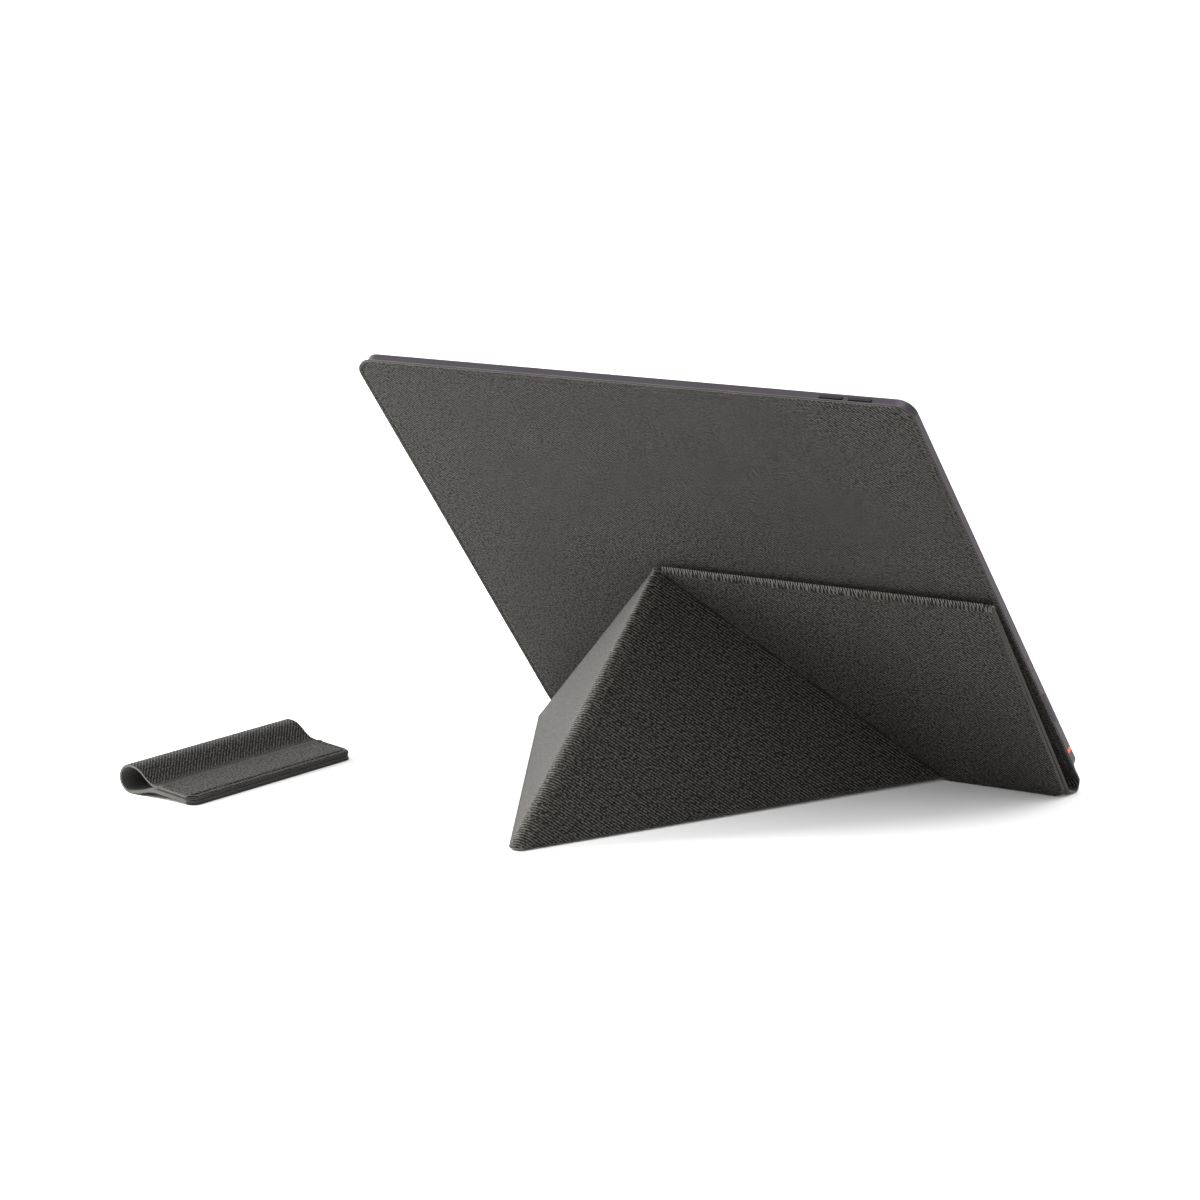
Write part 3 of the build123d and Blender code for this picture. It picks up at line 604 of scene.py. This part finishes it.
def crease_section(right, left, along, inset, share, wing, groove=0.0, inner_level=LINING_LEVEL + PROUD):
    """A crease's section: its arc starts inset from the line, and flat wings run on to the boards."""
    axis = panel_axes[right] @ Vector((along.x, along.y, 0))
    inward = {
        right: panel_axes[right] @ Vector((along.y, -along.x, 0)),
        left: panel_axes[left] @ Vector((-along.y, along.x, 0)),
    }
    bisector = (inward[right] + inward[left]).normalized()
    centre = bisector * (inset / inward[right].dot(bisector))
    rows = []
    for level, finish in ((TWILL_LEVEL - PROUD, 0), (inner_level, 1)):
        edge = {p: inward[p] * inset + panel_axes[p].col[2] * level for p in (right, left)}
        angle = turn_between(edge[right] - centre, edge[left] - centre, axis)
        row = []
        if share[0] == 0:
            row.append((edge[right] + inward[right] * (wing - inset), -wing))
        for step in range(ARC_STEPS + 1):
            part = share[0] + (share[1] - share[0]) * step / ARC_STEPS
            turned = Matrix.Rotation(angle * part, 3, axis) @ (edge[right] - centre)
            sunk = bisector * (groove * math.sin(math.pi * part) ** 2 if finish == 0 else 0.0)
            row.append((centre + turned - sunk, inset * (2 * part - 1)))
        if share[1] == 1:
            row.append((edge[left] + inward[left] * (wing - inset), wing))
        rows.append(row)
    return axis, centre, rows


def eased_inset(inset, distance, ease):
    """A crease starts tight at the apex and reaches its full width at the distance called ease."""
    return inset * min(1.0, TIGHT + (1 - TIGHT) * distance / ease)


def crease(name, right, left, along, insets, reach, share=(0, 1), finish=None, ease=8.0, **section):
    """A crease's cloth from reach[0] to reach[1] along its line; each end may depend on the place across."""
    arc_inset, board_inset = insets
    across = Vector((-along.y, along.x))
    points, weave = [], []
    for step in range(LENGTH_STEPS + 1):
        t = (step / LENGTH_STEPS) ** CLOSE_AT_APEX
        nominal = reach[0] + (NOMINAL_LENGTH - reach[0]) * t
        inset = eased_inset(arc_inset, nominal, ease)
        wing = max(min(board_inset + OVERLAP, nominal * WING_SPREAD), inset + LEAST_WING)
        axis, _, rows = crease_section(right, left, along, inset, share, wing, **section)
        for offset, place in rows[0] + rows[1][::-1]:
            start, end = (limit(place) if callable(limit) else limit for limit in reach)
            distance = start + (end - start) * t
            points.append(apex + (axis * distance + offset) * MM)
            weave.append(tuple(along * distance + across * place))
    faces = swept_faces(LENGTH_STEPS, len(rows[0]), (0, 2, 1, 2), 2)
    return build(name, points, faces, weave, [finish or twill, lining, cut_edge])


lid_points = []
for panel in LID_PANELS:
    lid_points += flat_points(panel + "_panel_twill", panel)
LID_LEFT, LID_RIGHT = min(p.x for p in lid_points), max(p.x for p in lid_points)
LID_TOP = max(p.y for p in lid_points)
LID_CORNER = 6.0
NEAREST_EDGE, FARTHEST_EDGE = 50.0, 250.0
HALVINGS = 30


def inside_lid(point):
    """Whether a flat point lies in the lid's outline near its rounded left corner."""
    corner = Vector((LID_LEFT + LID_CORNER, LID_TOP - LID_CORNER))
    if point.x < corner.x and point.y > corner.y:
        return (point - corner).length <= LID_CORNER
    return point.x >= LID_LEFT and point.y <= LID_TOP


def to_lid_edge(along):
    """For a line beside a crease, the distance along it at which it leaves the lid."""
    across = Vector((-along.y, along.x))

    def distance(place):
        low, high = NEAREST_EDGE, FARTHEST_EDGE
        for _ in range(HALVINGS):
            middle = (low + high) / 2
            if inside_lid(along * middle + across * place):
                low = middle
            else:
                high = middle
        return low

    return distance


MIDLINE = Vector((1, 0))
foot_flat = Vector((LID_LEFT, LID_TOP))
ridge_along = foot_flat.normalized()
side_along = Vector((LID_LEFT, -LID_TOP)).normalized()
front_flat = panel_axes["outer"].transposed() @ hinge_axis("front_fold")
front_along = Vector((front_flat.x, front_flat.y)).normalized()
MIDLINE_INSET, SIDE_INSET, FRONT_INSET, RIDGE_INSET = 0.3, 1.2, 2.6, 4.2
SKIN_LEVEL = -0.9  # a fold that lies on the screen when shut is a skin of cloth that stays clear of it
VALLEY_START = 1.5
VALLEY_INSET, VALLEY_GROOVE = 2.5, 1.2  # the cloth dips into a narrow dark line in the valley
RIDGE_EASE = 95.0
NO_EASE = 0.01
MIDLINE_END_GAP, SIDE_END_GAP = 0.02, 1.5
print("lid", round(LID_RIGHT - LID_LEFT, 1), "by", round(2 * LID_TOP, 1), "mm, ridge", ridge_along[:])

# %% Midline, side and front creases
midline_band = crease(
    "midline_fold_cloth", "inner", "outer", MIDLINE, (MIDLINE_INSET, MIDLINE_INSET),
    (APEX_START, LID_RIGHT - MIDLINE_END_GAP), ease=NO_EASE, inner_level=SKIN_LEVEL,
)
side_reach = (APEX_START, side_along.dot(Vector((LID_LEFT, -LID_TOP))) - SIDE_END_GAP)
side_band = crease(
    "side_fold_cloth", "side", "inner", side_along, (SIDE_INSET, SIDE_INSET), side_reach,
    inner_level=SKIN_LEVEL,
)
front_band = crease(
    "front_fold_cloth", "outer", "front", front_along, (VALLEY_INSET, FRONT_INSET),
    (VALLEY_START, to_lid_edge(front_along)), ease=NO_EASE, groove=VALLEY_GROOVE,
)


def blend_across(piece, first, second, along, inset, *nodes):
    """Leaves a crease fixed where it lies at rest, baked into the frame, and hides the CAD nodes it stands in
    for.
    """
    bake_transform(piece)
    if nodes:
        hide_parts(*nodes)


blend_across(midline_band, "inner", "outer", MIDLINE, MIDLINE_INSET, "midline_crease")
blend_across(front_band, "outer", "front", front_along, FRONT_INSET, "front_crease")
blend_across(side_band, "side", "inner", side_along, SIDE_INSET, "side_crease")

# %% [markdown]
# ### Yarns over the fold at the top
# Where the cloth turns right over at the top of the tent, its ribs open up and single yarns stand
# out as slanting threads, drawn 1.3 mm apart. Their relief is modelled, and their colour is painted
# much paler than the twill's: a painted highlight for the light they catch on the fold. They could
# be modelled one by one, or painted on; here Geometry Nodes repeat one short piece of helix along
# the fold, each turned a little by a seeded random value. The node tree takes its sizes as named
# inputs, and the result becomes a mesh.

# %% A node tree that repeats yarns along a fold
YARN_SEED = 7
YARN_SIZES = (
    "Fold Length", "Yarn Spacing", "Fold Radius", "Far Radius", "Fold Turns", "Slant", "Yarn Radius",
)
YARN_TURN = 0.09  # the largest stray turn of a yarn, in radians


def socket_id(tree, name):
    return next(item.identifier for item in tree.interface.items_tree if item.name == name)


def yarn_tree():
    tree = bpy.data.node_groups.new("yarns_over_fold", "GeometryNodeTree")
    for name in YARN_SIZES:
        tree.interface.new_socket(name=name, in_out="INPUT", socket_type="NodeSocketFloat")
    tree.interface.new_socket(name="Finish", in_out="INPUT", socket_type="NodeSocketMaterial")
    tree.interface.new_socket(name="Geometry", in_out="OUTPUT", socket_type="NodeSocketGeometry")
    sizes = add(tree, "NodeGroupInput").outputs
    helix = add(
        tree,
        "GeometryNodeCurveSpiral",
        {
            "Resolution": 24,
            "Rotations": sizes["Fold Turns"],
            "Start Radius": sizes["Fold Radius"],
            "End Radius": sizes["Far Radius"],
            "Height": sizes["Slant"],
            "Reverse": True,
        },
    )
    section = add(tree, "GeometryNodeCurvePrimitiveCircle", {"Resolution": 5, "Radius": sizes["Yarn Radius"]})
    yarn = add(
        tree,
        "GeometryNodeCurveToMesh",
        {"Curve": helix.outputs[0], "Profile Curve": section.outputs[0], "Fill Caps": True},
    )
    count = maths(tree, "DIVIDE", sizes["Fold Length"], sizes["Yarn Spacing"])
    step = add(tree, "ShaderNodeCombineXYZ", {"Z": sizes["Yarn Spacing"]}).outputs[0]
    places = add(tree, "GeometryNodeMeshLine", {"Count": count, "Offset": step}, mode="OFFSET")
    stray = {2: -YARN_TURN, 3: YARN_TURN, "Seed": YARN_SEED}
    turn = add(tree, "FunctionNodeRandomValue", stray, data_type="FLOAT")
    turned = add(tree, "ShaderNodeCombineXYZ", {"Z": turn.outputs[1]})
    copies = add(
        tree,
        "GeometryNodeInstanceOnPoints",
        {"Points": places.outputs[0], "Instance": yarn.outputs[0], "Rotation": turned.outputs[0]},
    )
    real = add(tree, "GeometryNodeRealizeInstances", {0: copies.outputs[0]})
    dressed = add(tree, "GeometryNodeSetMaterial", {"Geometry": real.outputs[0], "Material": sizes["Finish"]})
    add(tree, "NodeGroupOutput", {0: dressed.outputs[0]})
    return tree


def grown(name, tree, values, place):
    """Runs a node tree with its named inputs and keeps the result as a plain mesh, put in place."""
    grower = placed(name + "_seed", bpy.data.meshes.new(name + "_seed"))
    modifier = grower.modifiers.new("grow", "NODES")
    modifier.node_group = tree
    for title, value in values.items():
        modifier[socket_id(tree, title)] = value
    graph = bpy.context.evaluated_depsgraph_get()
    mesh = bpy.data.meshes.new_from_object(grower.evaluated_get(graph), depsgraph=graph)
    grower.modifiers.remove(modifier)
    bpy.data.objects.remove(grower)
    mesh.name = name
    mesh.transform(place)
    mesh.shade_smooth()
    return placed(name, mesh)


# %% The yarns on the midline fold
YARN_SPACING, YARN_RADIUS, YARN_SLANT, YARN_SINK = 1.3, 0.2, 4.4, 0.25
YARN_START = 1.0
# The yarns' colour is painted far lighter than the twill they belong to: a painted highlight.
yarns_painted_highlight = soft_nap("yarn_polyester_painted_highlight", "76736d", "a19d96", 0.1)
fold_axis, fold_centre, fold_rows = crease_section(
    "inner", "outer", MIDLINE, MIDLINE_INSET, (0, 1), MIDLINE_INSET + OVERLAP
)
fold_start, fold_end = (fold_rows[0][i][0] - fold_centre for i in (1, -2))
fold_angle = turn_between(fold_start, fold_end, fold_axis)
spin_axis = fold_axis * math.copysign(1, fold_angle)
first_along = YARN_START if fold_angle > 0 else LID_RIGHT - YARN_START
first_place = apex + (fold_axis * first_along + fold_centre) * MM
yarn_place = Matrix.Translation(first_place) @ axes(
    fold_start.normalized(), spin_axis.cross(fold_start.normalized()), spin_axis
).to_4x4()
yarns = grown(
    "midline_yarns",
    yarn_tree(),
    {
        "Fold Length": (LID_RIGHT - 2 * YARN_START - YARN_SLANT) * MM,
        "Yarn Spacing": YARN_SPACING * MM,
        "Fold Radius": fold_start.length * MM,
        "Far Radius": (fold_start.length - YARN_SINK) * MM,
        "Fold Turns": abs(fold_angle) / math.tau,
        "Slant": YARN_SLANT * MM * math.copysign(1, fold_angle),
        "Yarn Radius": YARN_RADIUS * MM,
        "Finish": yarns_painted_highlight,
    },
    yarn_place,
)
print("yarns", len(yarns.data.polygons), "faces, turn", round(math.degrees(fold_angle), 1), "degrees")
blend_across(yarns, "inner", "outer", MIDLINE, MIDLINE_INSET)

# %% [markdown]
# ### Where the creases meet
# All four creases run into one point, and there the real cloth gathers in a soft knot a few
# millimetres wide. A flattened ball of the same cloth, sunk into the sheet, closes that spot.

# %% The gathered cloth at the apex
GATHER_RADIUS, GATHER_RISE, GATHER_SIDES, GATHER_RINGS = 2.7, 1.05, 20, 8
GATHER_SINK = 0.85  # how deep its middle lies below the twill's face, as a share of the rise


def gathered_apex():
    points, weave, faces = [], [], []
    for ring in range(1, GATHER_RINGS):
        fall = math.pi * ring / GATHER_RINGS
        for side in range(GATHER_SIDES):
            turn = math.tau * side / GATHER_SIDES
            x = GATHER_RADIUS * math.sin(fall) * math.cos(turn)
            y = GATHER_RADIUS * math.sin(fall) * math.sin(turn)
            level = TWILL_LEVEL + GATHER_RISE * (GATHER_SINK - math.cos(fall))
            points.append(on_panel("outer", x, y, level))
            weave.append((x, y))
    for ring in range(GATHER_RINGS - 2):
        for side in range(GATHER_SIDES):
            near, far = ring * GATHER_SIDES + side, ring * GATHER_SIDES + (side + 1) % GATHER_SIDES
            faces.append(((near, far, far + GATHER_SIDES, near + GATHER_SIDES), 0))
    last = (GATHER_RINGS - 2) * GATHER_SIDES
    faces.append((tuple(range(GATHER_SIDES)), 0))
    faces.append((tuple(range(last, last + GATHER_SIDES)), 0))
    return build("apex_gather_cloth", points, faces, weave, [twill])


gather = gathered_apex()
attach(gather, "outer_panel")
print("apex gather", [round(size * 1000, 1) for size in gather.dimensions], "mm")

# %% [markdown]
# ### The ridge
# The two small triangles meet in a soft ridge, and no hinge joins them: each hangs on its own
# neighbour. So the ridge is two halves, split along its crest, one on each triangle and moving with
# it, keeping its shape as the lid opens.

# %% The ridge in two halves
# Both halves use the lighter copy of the twill, whose extra lightness is a painted highlight.
for name, panel, share, fold in (
    ("ridge_front_half", "front", (0, 0.5), "front_fold"),
    ("ridge_side_half", "side", (0.5, 1), "side_fold"),
):
    half = crease(
        name, "front", "side", ridge_along, (RIDGE_INSET, RIDGE_INSET),
        (APEX_START, to_lid_edge(ridge_along)), share, ridge_twill_painted_lighter, RIDGE_EASE,
    )
    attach(half, panel + "_panel")
    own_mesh(half)
    if panel == "side":
        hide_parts("ridge_crease")
    print(name, [round(size * 1000, 1) for size in half.dimensions])

# %% [markdown]
# ## The spine
# Below the tablet the cover's cloth runs on in a soft loop and joins the lid to the back panel. It
# has no board, so it hangs in a tight curve with its lining inside. One curve with its corners at
# the three hinge lines gives the shape. It is cut at the middle of each strip, where it is tangent
# to it, into three parts, one over each hinge, each built where it lies at rest and fixed there.

# %% The spine's curve
SPINE_HALF = 0.6
SPINE_TUCK = 1.6
CORNER_FILL = 7.0  # the cloth runs on this far behind the back panel's rounded corners
CURVE_STEPS = 18
SPINE_RIM, SPINE_RIM_SHARE = 0.2, 0.75  # the strip is thinner at its two ends
SPINE_WEAVE = -140.0  # where the spine's weave starts
BEND_WEIGHT = 1.7
strip_x = span_along("spine_upper_strip", RIGHT)
hinges = [hinge_point(name) for name in ("back_edge_hinge", "spine_fold", "lid_hinge")]
ends = [
    hinges[0] - down_tablet * SPINE_TUCK * MM,
    (hinges[0] + hinges[1]) / 2,
    (hinges[1] + hinges[2]) / 2,
    hinges[2] + up_lid * SPINE_TUCK * MM,
]


def bend_points(start, corner, end, weight):
    """Points of a smooth bend that leaves start and reaches end along the sides of the corner."""
    points = []
    for step in range(CURVE_STEPS + 1):
        t = step / CURVE_STEPS
        a, b, c = (1 - t) ** 2, 2 * t * (1 - t) * weight, t * t
        points.append((start * a + corner * b + end * c) / (a + b + c))
    return points


def spine_piece(name, part, weight, node=None, lead=0.0):
    """The cloth over one hinge, with a straight run before it where a lead is given."""
    start, corner, end = ends[part], hinges[part], ends[part + 1]
    bend = bend_points(start, corner, end, weight)
    straight = (start - corner).normalized() * lead * MM
    path = ([start + straight] if lead else []) + bend
    length, rows = 0.0, []
    for i, point in enumerate(path):
        before, after = path[max(i - 1, 0)], path[min(i + 1, len(path) - 1)]
        length += (point - before).length / MM if i else 0
        normal = RIGHT.cross(after - before).normalized()
        rows.append((point, normal, length))
    points, weave = [], []
    rim = SPINE_RIM * MM
    stations = (strip_x[0], strip_x[0] + rim, strip_x[1] - rim, strip_x[1])
    for x in stations:
        half = SPINE_HALF * MM * (SPINE_RIM_SHARE if x in strip_x else 1.0)
        for side in (1, -1):
            for point, normal, place in rows if side == 1 else rows[::-1]:
                points.append(Vector((x, point.y, point.z)) + normal * half * side)
                weave.append((x / MM, place + SPINE_WEAVE))
    faces = swept_faces(len(stations) - 1, len(rows), (1, 0, 0, 0), 2)
    piece = build(name, points, faces, weave, [twill, lining, cut_edge])
    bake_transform(piece)
    if node:
        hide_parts(node)


spine_piece("spine_at_back_panel", 0, 1.0, "spine_upper_strip", CORNER_FILL)
spine_piece("spine_bend", 1, BEND_WEIGHT, "spine_lower_strip")
spine_piece("spine_at_lid", 2, 1.0)
print("spine runs", round((strip_x[1] - strip_x[0]) * 1000, 1), "mm")

# %% [markdown]
# ## The pen loop
# A strip of the same cloth, stiffened with a thin board, is rolled into a sleeve for the pen; its
# two ends run out as flat flaps that lie on each other and grip the tablet's edge or a cover page
# with the steel plates inside. The roll is one section swept along the loop. The upper flap is its
# own piece, because it lifts, and a strip of cloth bridges the pinch between them.

# %% The loop's own axes
loop_y = -hinge_axis("pen_loop_flap_lift")
UP = Vector((0, 0, 1))
loop_x = loop_y.cross(UP)
loop_low, loop_high = span_along("pen_loop_sleeve", loop_x)
row_low, row_high = span_along("pen_loop_sleeve", loop_y)
loop_origin = loop_x * loop_low + loop_y * (row_low + row_high) / 2
LOOP_REACH = (loop_high - loop_low) / MM
LOOP_HALF = (row_high - row_low) / 2 / MM
ROLL, WALL, FLAP, FLAP_GAP, PINCH, PINCH_HEIGHT, CORNER = 6.95, 1.3, 1.9, 0.4, 25.0, 2.3, 5.0
BEND_PULL = 0.46  # how far a smooth run keeps to the headings at its ends
SLEEVE_WEAVE, BRIDGE_WEAVE, FLAP_WEAVE = 300, 320, 340  # keeps the pieces' weaves apart
PINCH_SINK, PINCH_SINK_REACH = 0.55, 2.6
print("pen loop", round(LOOP_REACH, 1), "by", round(2 * LOOP_HALF, 1), "mm")


def on_loop(x, y, z):
    return loop_origin + (loop_x * x + loop_y * y + UP * z) * MM


def rounded_x(x, y):
    """Draws a point near the free edge back where the corner is rounded."""
    start = LOOP_REACH - CORNER
    past = abs(y) - (LOOP_HALF - CORNER)
    if x <= start or past <= 0:
        return x
    room = math.sqrt(max(CORNER**2 - past**2, 0.0))
    return start + (x - start) * room / CORNER


def pinch_sink(x):
    """How far the upper flap's top dips where it starts at the pinch."""
    return PINCH_SINK * max(0.0, 1 - (x - PINCH) / PINCH_SINK_REACH) ** 2


def arc_bend(start, heading, end, end_heading, steps):
    """A smooth run between two places of the section, by a cubic curve."""
    a, d = Vector(start), Vector(end)
    reach = (d - a).length * BEND_PULL
    b, c = a + Vector(heading).normalized() * reach, d - Vector(end_heading).normalized() * reach
    points = []
    for step in range(steps + 1):
        t = step / steps
        points.append(a * (1 - t) ** 3 + b * 3 * t * (1 - t) ** 2 + c * 3 * t * t * (1 - t) + d * t**3)
    return points


def roll_arc(radius, steps):
    """The round back of the roll, from its top to its bottom."""
    return [
        Vector((ROLL + radius * math.cos(a), ROLL + radius * math.sin(a)))
        for a in (math.pi / 2 + math.pi * step / steps for step in range(steps + 1))
    ]


# %% The rolled sleeve
slope = (LOOP_REACH - PINCH, -PINCH_HEIGHT)
upper = FLAP + FLAP_GAP
up_slope = (-slope[0], -slope[1])
sleeve_end = PINCH - 0.3
sleeve_low = PINCH_HEIGHT + upper
TOP_STEPS, LOW_STEPS, ROLL_STEPS = 16, 12, 24
top_outer = arc_bend((sleeve_end, sleeve_low + WALL), up_slope, (ROLL, 2 * ROLL), (-1, 0), TOP_STEPS)
top_inner = arc_bend((sleeve_end, sleeve_low), up_slope, (ROLL, 2 * ROLL - WALL), (-1, 0), TOP_STEPS)
low_outer = arc_bend((ROLL, 0), (1, 0), (PINCH, PINCH_HEIGHT), slope, LOW_STEPS)
low_inner = arc_bend((ROLL, WALL), (1, 0), (PINCH, PINCH_HEIGHT + FLAP), slope, LOW_STEPS)
FLAP_STATIONS = [0.1, 0.3, 0.5, 0.7, 0.8, 0.84, 0.88, 0.92, 0.96, 0.98, 0.993, 1.0]
flap_outer = [Vector((PINCH + slope[0] * t, PINCH_HEIGHT * (1 - t))) for t in FLAP_STATIONS]
EDGE_DROP = 0.55  # the lower flap's free edge is rounded, which leaves a dark line between the flaps
EDGE_START = 0.96
flap_inner = []
for p, t in zip(flap_outer, FLAP_STATIONS):
    drop = EDGE_DROP * max(0.0, (t - EDGE_START) / (1 - EDGE_START)) ** 2
    flap_inner.append(p + Vector((0, FLAP - drop)))
outer_line = top_outer + roll_arc(ROLL, ROLL_STEPS)[1:] + low_outer[1:] + flap_outer
inner_line = top_inner + roll_arc(ROLL - WALL, ROLL_STEPS)[1:] + low_inner[1:] + flap_inner
END_EASE = ((0.05, 0.16), (0.2, 0.04))  # closer to an end than this, the skins draw in by this


def loop_rows():
    """Stations along the loop: close together at the ends, where corners are rounded and edges eased."""
    ends = [0.0, 0.12, 0.4, 0.8, 1.4, 2.2, 3.2, 5.0, 12.0]
    return [-LOOP_HALF + e for e in ends] + [0.0] + [LOOP_HALF - e for e in ends[::-1]]


def sleeve():
    rows = loop_rows()
    points, weave = [], []
    for y in rows:
        ease = next((drawn for near, drawn in END_EASE if LOOP_HALF - abs(y) < near), 0.0)
        place = 0.0
        for sign, line, other in ((1, outer_line, inner_line), (-1, inner_line[::-1], outer_line[::-1])):
            for k, (p, q) in enumerate(zip(line, other)):
                shifted = p + (q - p).normalized() * ease
                place += (p - line[k - 1]).length if k else 0
                points.append(on_loop(rounded_x(shifted.x, y), y, shifted.y))
                weave.append((place * sign + SLEEVE_WEAVE, y))
    faces = swept_faces(len(rows) - 1, len(outer_line), (0, 0, 1, 0), 2)
    return build("pen_sleeve_cloth", points, faces, weave, [twill, lining, cut_edge])


sleeve_cloth = sleeve()
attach(sleeve_cloth, "pen_loop")
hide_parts("pen_loop_sleeve")

# %% The upper flap, with its pressed border
RIM_DROP, RIM_REACH = 0.5, 1.0
BORDER = [
    (0.0, 0.0), (0.4, 0.0), (1.9, 0.0), (2.2, -0.15), (2.5, -0.45), (2.8, -0.6),
    (3.1, -0.4), (3.4, -0.15), (4.0, -0.03), (5.0, 0.0),
]


def border_height(distance):
    for (a, low), (b, high) in zip(BORDER, BORDER[1:]):
        if distance <= b:
            return low + (high - low) * (distance - a) / (b - a)
    return 0.0


def upper_flap():
    """The flap as a grid with an eased rim; its top carries the pressed channel."""
    edge_steps = [0.0, 0.12, 0.4, 1.0, 1.9, 2.2, 2.5, 2.8, 3.1, 3.4, 4.0, 5.0]
    xs = [PINCH, PINCH + 1.2, PINCH + 2.6, PINCH + 6, PINCH + 12] + [LOOP_REACH - e for e in edge_steps[::-1]]
    ys = [-LOOP_HALF + e for e in edge_steps] + [-30, -10, 10, 30] + [LOOP_HALF - e for e in edge_steps[::-1]]
    points, weave, faces = [], [], []
    for side in (1, 0):
        for y in ys:
            for x in xs:
                t = (x - PINCH) / (LOOP_REACH - PINCH)
                base = PINCH_HEIGHT * (1 - t) + upper
                moved = rounded_x(x, y)
                reach = rounded_x(LOOP_REACH, y)
                distance = min(reach - moved, LOOP_HALF - abs(y))
                rim = RIM_DROP * max(0.0, 1 - distance / RIM_REACH) ** 2
                if side:
                    height = FLAP + border_height(distance) - rim - pinch_sink(x)
                else:
                    height = rim
                points.append(on_loop(moved, y, base + height))
                weave.append((moved + (FLAP_WEAVE if side else -FLAP_WEAVE), y))
    wide, deep = len(xs), len(ys)
    for side in (0, 1):
        base = side * wide * deep
        for r in range(deep - 1):
            for c in range(wide - 1):
                i = base + r * wide + c
                faces.append(((i, i + 1, i + wide + 1, i + wide), side))
    rim = [(0, c) for c in range(wide - 1)] + [(r, wide - 1) for r in range(deep - 1)]
    rim += [(deep - 1, c) for c in range(wide - 1, 0, -1)] + [(r, 0) for r in range(deep - 1, 0, -1)]
    for (r, c), (s, d) in zip(rim, rim[1:] + rim[:1]):
        a, b = r * wide + c, s * wide + d
        faces.append(((a, b, b + wide * deep, a + wide * deep), 2 if r == s else 0))
    return build("pen_flap_cloth", points, faces, weave, [twill, lining, cut_edge])


flap_cloth = upper_flap()
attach(flap_cloth, "pen_loop_flap")
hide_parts("pen_loop_flap")

# %% The cloth over the pinch
BRIDGE_LIFT, BRIDGE_REACH = 0.12, 3.2
BRIDGE_PROUD, BRIDGE_DEPTH = 0.02, 0.3


def pinch_bridge():
    """A strip from the roll over the pinch to the flap, with rows a little apart along the loop."""
    back = [p for p in top_outer if p.x > sleeve_end - BRIDGE_REACH][::-1]
    ahead = []
    for x in (PINCH + 0.5, PINCH + 1.2, PINCH + 2.0, PINCH + BRIDGE_REACH):
        flap_low = PINCH_HEIGHT * (LOOP_REACH - x) / (LOOP_REACH - PINCH) + upper
        ahead.append(Vector((x, flap_low + FLAP - pinch_sink(x))))
    line = back + ahead
    top = [p.y + BRIDGE_LIFT * min(1.0, k / 2, (len(line) - 1 - k) / 2) for k, p in enumerate(line)]
    rows = [-LOOP_HALF + 0.05, -LOOP_HALF + 0.4, 0.0, LOOP_HALF - 0.4, LOOP_HALF - 0.05]
    points, weave = [], []
    for y in rows:
        section = [(p.x, height + BRIDGE_PROUD) for p, height in zip(line, top)]
        section += [(p.x, p.y - BRIDGE_DEPTH) for p in reversed(line)]
        points += [on_loop(x, y, z) for x, z in section]
        weave += [(x + BRIDGE_WEAVE, y) for x, _ in section]
    faces = swept_faces(len(rows) - 1, len(line), (0, 0, 0, 0), 1)
    return build("pen_pinch_cloth", points, faces, weave, [twill, cut_edge])


bridge = pinch_bridge()
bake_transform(bridge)
print("pinch bridge", len(bridge.data.polygons), "faces")

# %% [markdown]
# ## Floor, light and camera
# The picture was taken in a white studio: a pale floor that runs into a white background, a broad
# soft light all round, and a stronger one from the left, which is what makes the small side triangle
# so bright. The camera stands behind the tablet, to its right, a little above the table.

# %% Stage
CAMERA_PLACE = Vector((1.0383, -1.5063, 0.4769))
CAMERA_YAW, CAMERA_PITCH, CAMERA_ROLL = (math.radians(a) for a in (34.469, 11.952, -1.057))
FOCAL_PIXELS, PHOTO_PIXELS, SENSOR = 4116.1, 1200, 36.0
FLOOR_HALF, FLOOR_GAP = 6.0, 0.0002
LIGHT_AIM = (0, 0, 0.05)
WORLD_STRENGTH = 1.04


def make_floor():
    mesh = bpy.data.meshes.new("studio_floor")
    corners = [(x * FLOOR_HALF, y * FLOOR_HALF, 0) for x, y in ((-1, -1), (1, -1), (1, 1), (-1, 1))]
    mesh.from_pydata(corners, [], [(0, 1, 2, 3)])
    mesh.materials.append(begin("studio_paper", {"Base Color": linear("ffffff"), "Roughness": 0.9})[0])
    floor = placed("studio_floor", mesh)
    floor.location.z = -FLOOR_GAP


def area_light(name, place, size, power):
    data = bpy.data.lights.new(name, "AREA")
    data.shape, data.size, data.energy = "DISK", size, power
    light = placed(name, data)
    light.location = place
    light.rotation_euler = (Vector(LIGHT_AIM) - Vector(place)).to_track_quat("-Z", "Y").to_euler()


def make_camera():
    forward = Vector((
        -math.sin(CAMERA_YAW) * math.cos(CAMERA_PITCH),
        math.cos(CAMERA_YAW) * math.cos(CAMERA_PITCH),
        -math.sin(CAMERA_PITCH),
    ))
    level = Vector((math.cos(CAMERA_YAW), math.sin(CAMERA_YAW), 0))
    upright = level.cross(forward)
    right = level * math.cos(CAMERA_ROLL) + upright * math.sin(CAMERA_ROLL)
    top = upright * math.cos(CAMERA_ROLL) - level * math.sin(CAMERA_ROLL)
    data = bpy.data.cameras.new("camera")
    data.sensor_width = SENSOR
    data.lens = FOCAL_PIXELS / PHOTO_PIXELS * SENSOR
    data.clip_end = 50
    camera = placed("camera", data)
    camera.matrix_world = Matrix.Translation(CAMERA_PLACE) @ axes(right, top, -forward).to_4x4()
    bpy.context.scene.camera = camera


make_floor()
area_light("key_from_the_left", (-1.4, -0.3, 0.5), 0.8, 66)
area_light("soft_top", (0.2, -0.3, 1.8), 1.6, 14)
world = bpy.data.worlds.new("white_studio")
bpy.context.scene.world = world
world.use_nodes = True
world.node_tree.nodes["Background"].inputs["Color"].default_value = (1, 1, 1, 1)
world.node_tree.nodes["Background"].inputs["Strength"].default_value = WORLD_STRENGTH
bpy.context.scene.view_settings.view_transform = "Standard"
make_camera()
